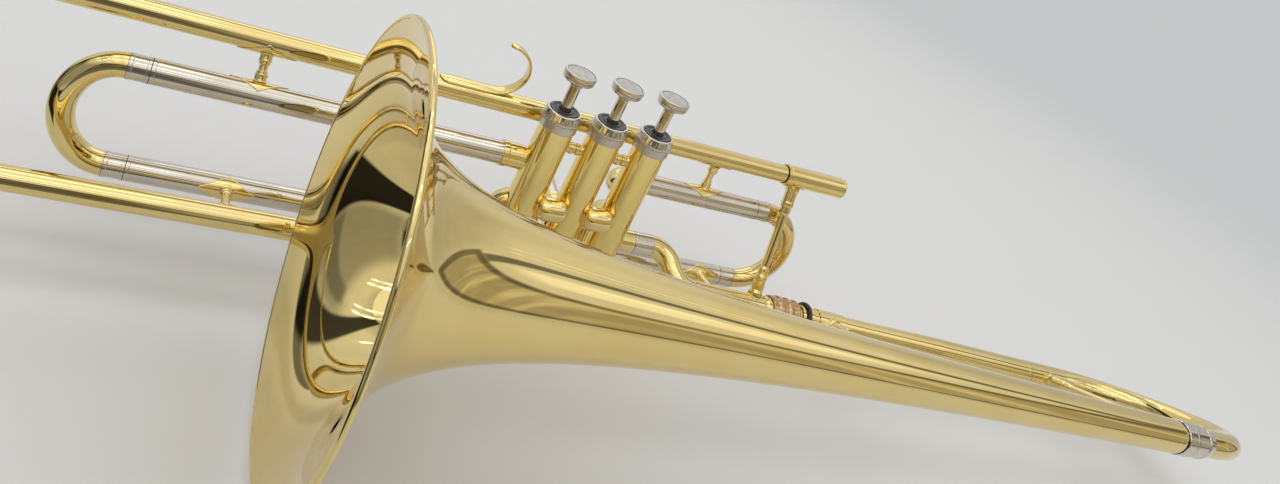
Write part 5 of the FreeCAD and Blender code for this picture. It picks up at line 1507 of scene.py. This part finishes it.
@dataclass
class TuningSlide:
    """Main tuning slide: bow, nickel legs with their ferrules, and the brace across them."""

    bell: BellSection
    arc_station: float = -288 * MM
    bow_r: float = 9.4 * MM
    bow_wall: float = 0.7 * MM
    ferrule_length: float = 22 * MM
    leg_r: float = 9.0 * MM
    leg_length: float = 63 * MM
    near_leg_r: float = 8.25 * MM
    near_leg_length: float = 84 * MM
    brace_station: float = -270 * MM

    def build(self) -> None:
        """Make the slide."""
        bell = self.bell
        body = "tuning_slide"
        tail_r = float(bell.radius(bell.length)) + bell.ferrule_wall
        face = bell.length - bell.lap + bell.ferrule_length + 0.3 * MM
        rear = face + self.ferrule_length
        joint = bell.tuning_joint
        near = SECTION_START + SECTION_LINE * (joint - 0.3 * MM)
        depth = float(np.linalg.norm(bell.across)) / 2
        corner = SECTION_START + SECTION_LINE * (self.arc_station - depth)
        far = bell.rim - SECTION_LINE * (rear - 7 * MM)
        path = Path([near, corner, corner + bell.across, far], depth, unit(bell.across))
        bow = tube(path, 0.0, path.length, self.bow_r, self.bow_wall, 2.5 * MM, 96)
        Piece("tuning_bow_shell", BRASS_TUBE, bow).build(body, "tuning_bow")
        inner_r = self.bow_r - self.bow_wall
        near_leg = spun(bell.neck_line, divided(soften([
            (joint - 14 * MM, inner_r - 0.02 * MM), (joint - 0.3 * MM, inner_r - 0.02 * MM),
                                                        (joint - 0.3 * MM, self.near_leg_r),
            (joint + self.near_leg_length, self.near_leg_r),
                                                        (joint + self.near_leg_length,
                                                         self.near_leg_r - 0.55 * MM),
            (joint - 14 * MM, self.near_leg_r - 0.55 * MM)], 0.1 * MM), 9 * MM), 80)
        far_leg = spun(bell.bell_line, divided(soften([
            (face - self.leg_length, self.leg_r), (face, self.leg_r), (face, tail_r - 0.2 * MM),
            (face + 1.4 * MM, tail_r - 0.2 * MM), (face + 1.8 * MM, tail_r - 0.5 * MM),
                                                       (rear - 9.5 * MM, tail_r - 0.6 * MM),
            (rear - 9.0 * MM, tail_r - 0.25 * MM), (rear - 7.4 * MM, tail_r - 0.25 * MM),
                                                       (rear - 6.9 * MM, tail_r - 0.7 * MM),
            (rear, self.bow_r + 0.3 * MM), (rear, self.bow_r + 0.02 * MM),
                                                       (rear - 7 * MM, self.bow_r + 0.02 * MM),
            (rear - 7 * MM, self.leg_r - 0.6 * MM), (face - self.leg_length, self.leg_r - 0.6 * MM)],
                                                      0.15 * MM), 9 * MM), 96)
        # Painted shade: dark rings in the joints at the tail ferrule and the gooseneck.
        Piece("tuning_seams", JOINT_SHADE, seam(bell.bell_line, face - 0.15 * MM, tail_r - 0.15 * MM, 0.55 * MM),
              seam(bell.neck_line, joint - 0.15 * MM, bell.neck_rear_r - 0.1 * MM, 0.5 * MM)).build(body)
        Piece("tuning_leg_tubes", NICKEL_TUBE, near_leg, far_leg).build(body, "tuning_legs")
        start = SECTION_START + SECTION_LINE * self.brace_station
        posts = Brace(3.0 * MM, 4.3 * MM, 20 * MM, Flange(9 * MM, 6 * MM)).grids(
            start, SECTION_LINE, self.bow_r, start + bell.across, SECTION_LINE, tail_r - 0.2 * MM)
        Piece("tuning_brace_post", BRASS_TURNED, *posts).build(body, "tuning_brace")


@dataclass(frozen=True)
class Studio:
    """Camera, soft lamps, floor and the surroundings that the metal reflects."""

    focal_px: float = 950.0
    image_width: float = 1280.0
    shift_px: float = -157.0
    sensor: float = 36.0
    camera_at: tuple[float, float, float] = (0.42244, 0.48328, 0.23932)
    right: tuple[float, float, float] = (-0.872005, 0.267883, 0.40969)
    up: tuple[float, float, float] = (0.24692, -0.481948, 0.840688)
    backdrop: Colour = (0.565, 0.575, 0.58)
    paper: Colour = (0.785, 0.785, 0.78)
    floor_drop: float = 1.5 * MM
    rows: tuple[tuple[float, float], ...] = ((-0.95, 0.035), (-0.27, 0.026), (-0.14, 0.018), (0.38, 0.026),
                                             (0.50, 0.018), (0.95, 0.03))
    lamp_level: float = 2.6
    dim_turn: float = math.radians(116)
    table_edge: tuple[float, float, float] = (0.87, 0.49, 0.455)
    shades: tuple[tuple[float, ...], ...] = ((-18, 54, -17, 28, 0.52, 0.12), (-11, 0, -12, 27, 0.45, 0.04),
                                             (-34, -18, -12, 58, 0.93, 0.03),
                                             (-54, -16, -27, -2, 0.75, 0.05),
                                             (171, 178, 24, 52, 0.75, 0.02),
                                             (183, 222, -10, 32, 0.25, 0.15))

    def build(self) -> None:
        """Set up everything round the object."""
        self._camera()
        self._world()
        self._floor()
        self._lamps()
        bpy.context.scene.view_settings.view_transform = "Standard"

    def _camera(self) -> None:
        """Camera at the photograph's place, turned as it is there."""
        data = bpy.data.cameras.new("camera")
        data.sensor_width = self.sensor
        data.lens = self.focal_px / self.image_width * self.sensor
        data.shift_y = self.shift_px / self.image_width
        data.clip_start, data.clip_end = 0.01, 50.0
        item = bpy.data.objects.new("camera", data)
        right, up = unit(self.right), unit(self.up)
        columns = np.stack([right, up, np.cross(right, up)], 1)
        item.matrix_world = Matrix.Translation(self.camera_at) @ Matrix(columns.tolist()).to_4x4()
        bpy.context.scene.collection.objects.link(item)
        bpy.context.scene.camera = item

    def _world(self) -> None:
        """Room round the table: pale walls, rows of ceiling lights and dim places at the camera's side.

        Turn is the angle round Z from the direction of the dim side, and z is the sine of the height. Each
        place is a window in both, and the black band's height falls with the turn. A row of lights lies
        where y / z is near its offset, and its dashes repeat along x / z. Camera rays, and reflections
        outside these places, show the plain backdrop. Each of the shades has its angles in degrees (from,
        to, lowest, highest), the share of light that it takes and the softness of its edges.
        """
        world = bpy.data.worlds.new("studio")
        bpy.context.scene.world = world
        world.use_nodes = True
        shade = Shade(world.node_tree)
        x, y, z = shade.parts(shade.node("TexCoord", {}, {}, "Generated"))
        cos_a, sin_a = math.cos(self.dim_turn), math.sin(self.dim_turn)
        turn = shade.node("Math", {"operation": "ARCTAN2"},
                          {0: y * cos_a - x * sin_a, 1: x * cos_a + y * sin_a})
        ripple = shade.noise(shade.vector(turn * 3.2, z * 9.0, 0.0), 1.0, 3.0, 0.6)
        streak = shade.noise(shade.vector(turn * 9.0, z * 1.2, 3.0), 1.0, 2.0, 0.6)

        def window(low: float, high: float, bottom: float, top: float, soft: float = 0.04) -> Sock:
            """One inside the given angles and heights, with soft edges."""
            return (turn.step(low - soft, low + soft) * (1.0 - turn.step(high - soft, high + soft))
                    * z.step(bottom - soft, bottom + soft) * (1.0 - z.step(top - soft, top + soft)))
        high = shade.node("Math", {"operation": "MAXIMUM"}, {0: z, 1: 0.05})
        lamps: Sock | float = 0.0
        for offset, half in self.rows:
            place = ((y / high) - offset) * (1 / half)
            lamps = (1.0 - place * place).step(0.0, 0.5) + lamps
        dashes = (x / high * 18.0).sine().step(-0.6, -0.1) * 0.75 + 0.25
        lamps = lamps * dashes * z.step(0.58, 0.64) * (x.step(-0.5, -0.3) * 0.88 + 0.12)
        broad = ((y / high) - 0.5) * 4.0
        lamps = (1.0 - broad * broad).step(0.0, 0.7) * z.step(0.52,
                                                              0.60) * (1.0
                                                                       - x.step(-0.6, -0.4)) * 0.12 + lamps
        frame_edge = window(-1.10, 1.14, -0.05, 0.46, 0.02) - window(-1.02, 1.06, 0.01, 0.40, 0.02)
        dim = window(-1.10, 1.14, -0.05, 0.46, 0.02)
        low_edge = window(-1.10, -0.12, -0.40, -0.02)
        tilted = z + (turn + 2.37) * 0.124
        black = (turn.step(-2.44, -2.36) * (1.0 - turn.step(-1.12, -1.04)) * tilted.step(-0.52, -0.48)
                 * (1.0 - tilted.step(-0.21, -0.17)))
        wall = (z.step(-0.2, 0.9) * 0.16 + 0.66 + (ripple - 0.5) * 0.20) * (1.0 - z.step(0.68, 0.78) * 0.25)
        wall = wall * (1.0 - dim).within() * (1.0 - low_edge * 0.75).within() * (1.0 - black * 0.97)
        for shade_of in self.shades:
            start, end, low, top = (math.radians(angle) for angle in shade_of[:4])
            shaded = window(start - self.dim_turn, end - self.dim_turn, math.sin(low), math.sin(top),
                            shade_of[5])
            wall = wall * (1.0 - shaded * shade_of[4])
            black = black + shaded
        warm = dim * (ripple * 0.20 + streak.step(0.45, 0.75) * 0.36 + 0.33) * (1.0 - frame_edge
                                                                                * 0.65).within()
        warm = warm * (turn.step(-0.55, -0.15) * 0.7 + 0.3)
        level = wall + lamps * self.lamp_level
        colour = shade.vector(level + warm, level + warm * 0.92, level + warm * 0.74)
        room = shade.node("Background", {}, {"Color": colour, "Strength": 1.0})
        plain = shade.node("Background", {}, {"Color": (*self.backdrop, 1.0), "Strength": 1.0})
        path = shade.tree.nodes.new("ShaderNodeLightPath")
        camera, glossy, through = (Sock(shade, path.outputs[name]) for name in
                                   ("Is Camera Ray", "Is Glossy Ray", "Is Transmission Ray"))
        calm = (1.0 - (dim + low_edge + black + z.step(-0.3, 0.3))).within()
        seen = (camera + (glossy + through) * calm).within()
        shade.node("OutputWorld", {}, {"Surface": shade.node("MixShader", {},
                                                             {0: seen, 1: room, 2: plain})})

    def _floor(self) -> None:
        """Round pale floor that fades into the backdrop's grey."""
        low = CAD_BOX[0][2] - self.floor_drop
        rings, spokes = np.array([0.0, 0.3, 0.8, 1.5, 2.5, 4.0]), 64
        angle = np.arange(spokes) * FULL_TURN / spokes
        points = np.stack([rings[:, None] * np.cos(angle), rings[:, None] * np.sin(angle),
                           np.full((len(rings), spokes), low)], -1)
        grid = Grid(points, rings, False)
        mesh = bpy.data.meshes.new("floor")
        mesh.from_pydata(points.reshape(-1, 3).tolist(), [], grid.faces()[:, ::-1].tolist())
        item = bpy.data.objects.new("floor", mesh)
        made = bpy.data.materials.new("floor_paper")
        made.use_nodes = True
        shade = Shade(made.node_tree)
        x, y, _ = shade.parts(shade.node("TexCoord", {}, {}, "Object"))
        away = ((x - 0.2) * (x - 0.2) + y * y).step(0.45, 3.0)
        past_edge = (x * self.table_edge[0] + y * self.table_edge[1]).step(self.table_edge[2],
                                                                           self.table_edge[2] + 0.02)
        away = (away + past_edge * (1.0 - shade.node("LightPath", {}, {}, "Is Camera Ray"))).within()
        lit = shade.node("BsdfDiffuse", {}, {"Color": (*self.paper, 1.0)})
        clear = shade.node("BsdfTransparent", {}, {})
        shade.node("OutputMaterial", {},
                   {"Surface": shade.node("MixShader", {}, {0: away, 1: lit, 2: clear})})
        mesh.materials.append(made)
        bpy.context.scene.collection.objects.link(item)

    def _lamps(self) -> None:
        """Two large soft lamps: over the bell and behind the valves."""
        for name, place, target, size, power in (
                ("key", (0.42, 0.30, 1.6), (0.25, 0.1, 0.0), 2.3, 6.0),
                ("back", (-0.2, -1.5, 1.1), (0.2, 0.0, 0.0), 1.3, 2.0)):
            data = bpy.data.lights.new(name, "AREA")
            data.shape = "DISK"
            data.size = size
            data.energy = power
            item = bpy.data.objects.new(name, data)
            back = unit(np.asarray(place) - np.asarray(target))
            side = unit(np.cross(Z_LINE, back))
            columns = np.stack([side, np.cross(back, side), back], 1)
            item.matrix_world = Matrix.Translation(place) @ Matrix(columns.tolist()).to_4x4()
            bpy.context.scene.collection.objects.link(item)


def main() -> None:
    """Build the trombone and its studio."""
    logging.basicConfig(level=logging.INFO, format="%(name)s %(message)s")
    mouthpipe = Mouthpipe()
    mouthpipe.build()
    ValveBlock().build()
    for number in (1, 2, 3):
        Valve(number).build()
    ValveSlide(3, X_LINE, 24.5 * MM).build()
    ValveSlide(1, -X_LINE, 29.25 * MM).build()
    ValveSlide(2, -Y_LINE, 12.5 * MM).build()
    Underworks().build(mouthpipe)
    bell = BellSection()
    bell.build()
    TuningSlide(bell).build()
    Studio().build()


if __name__ == "__main__":
    main()
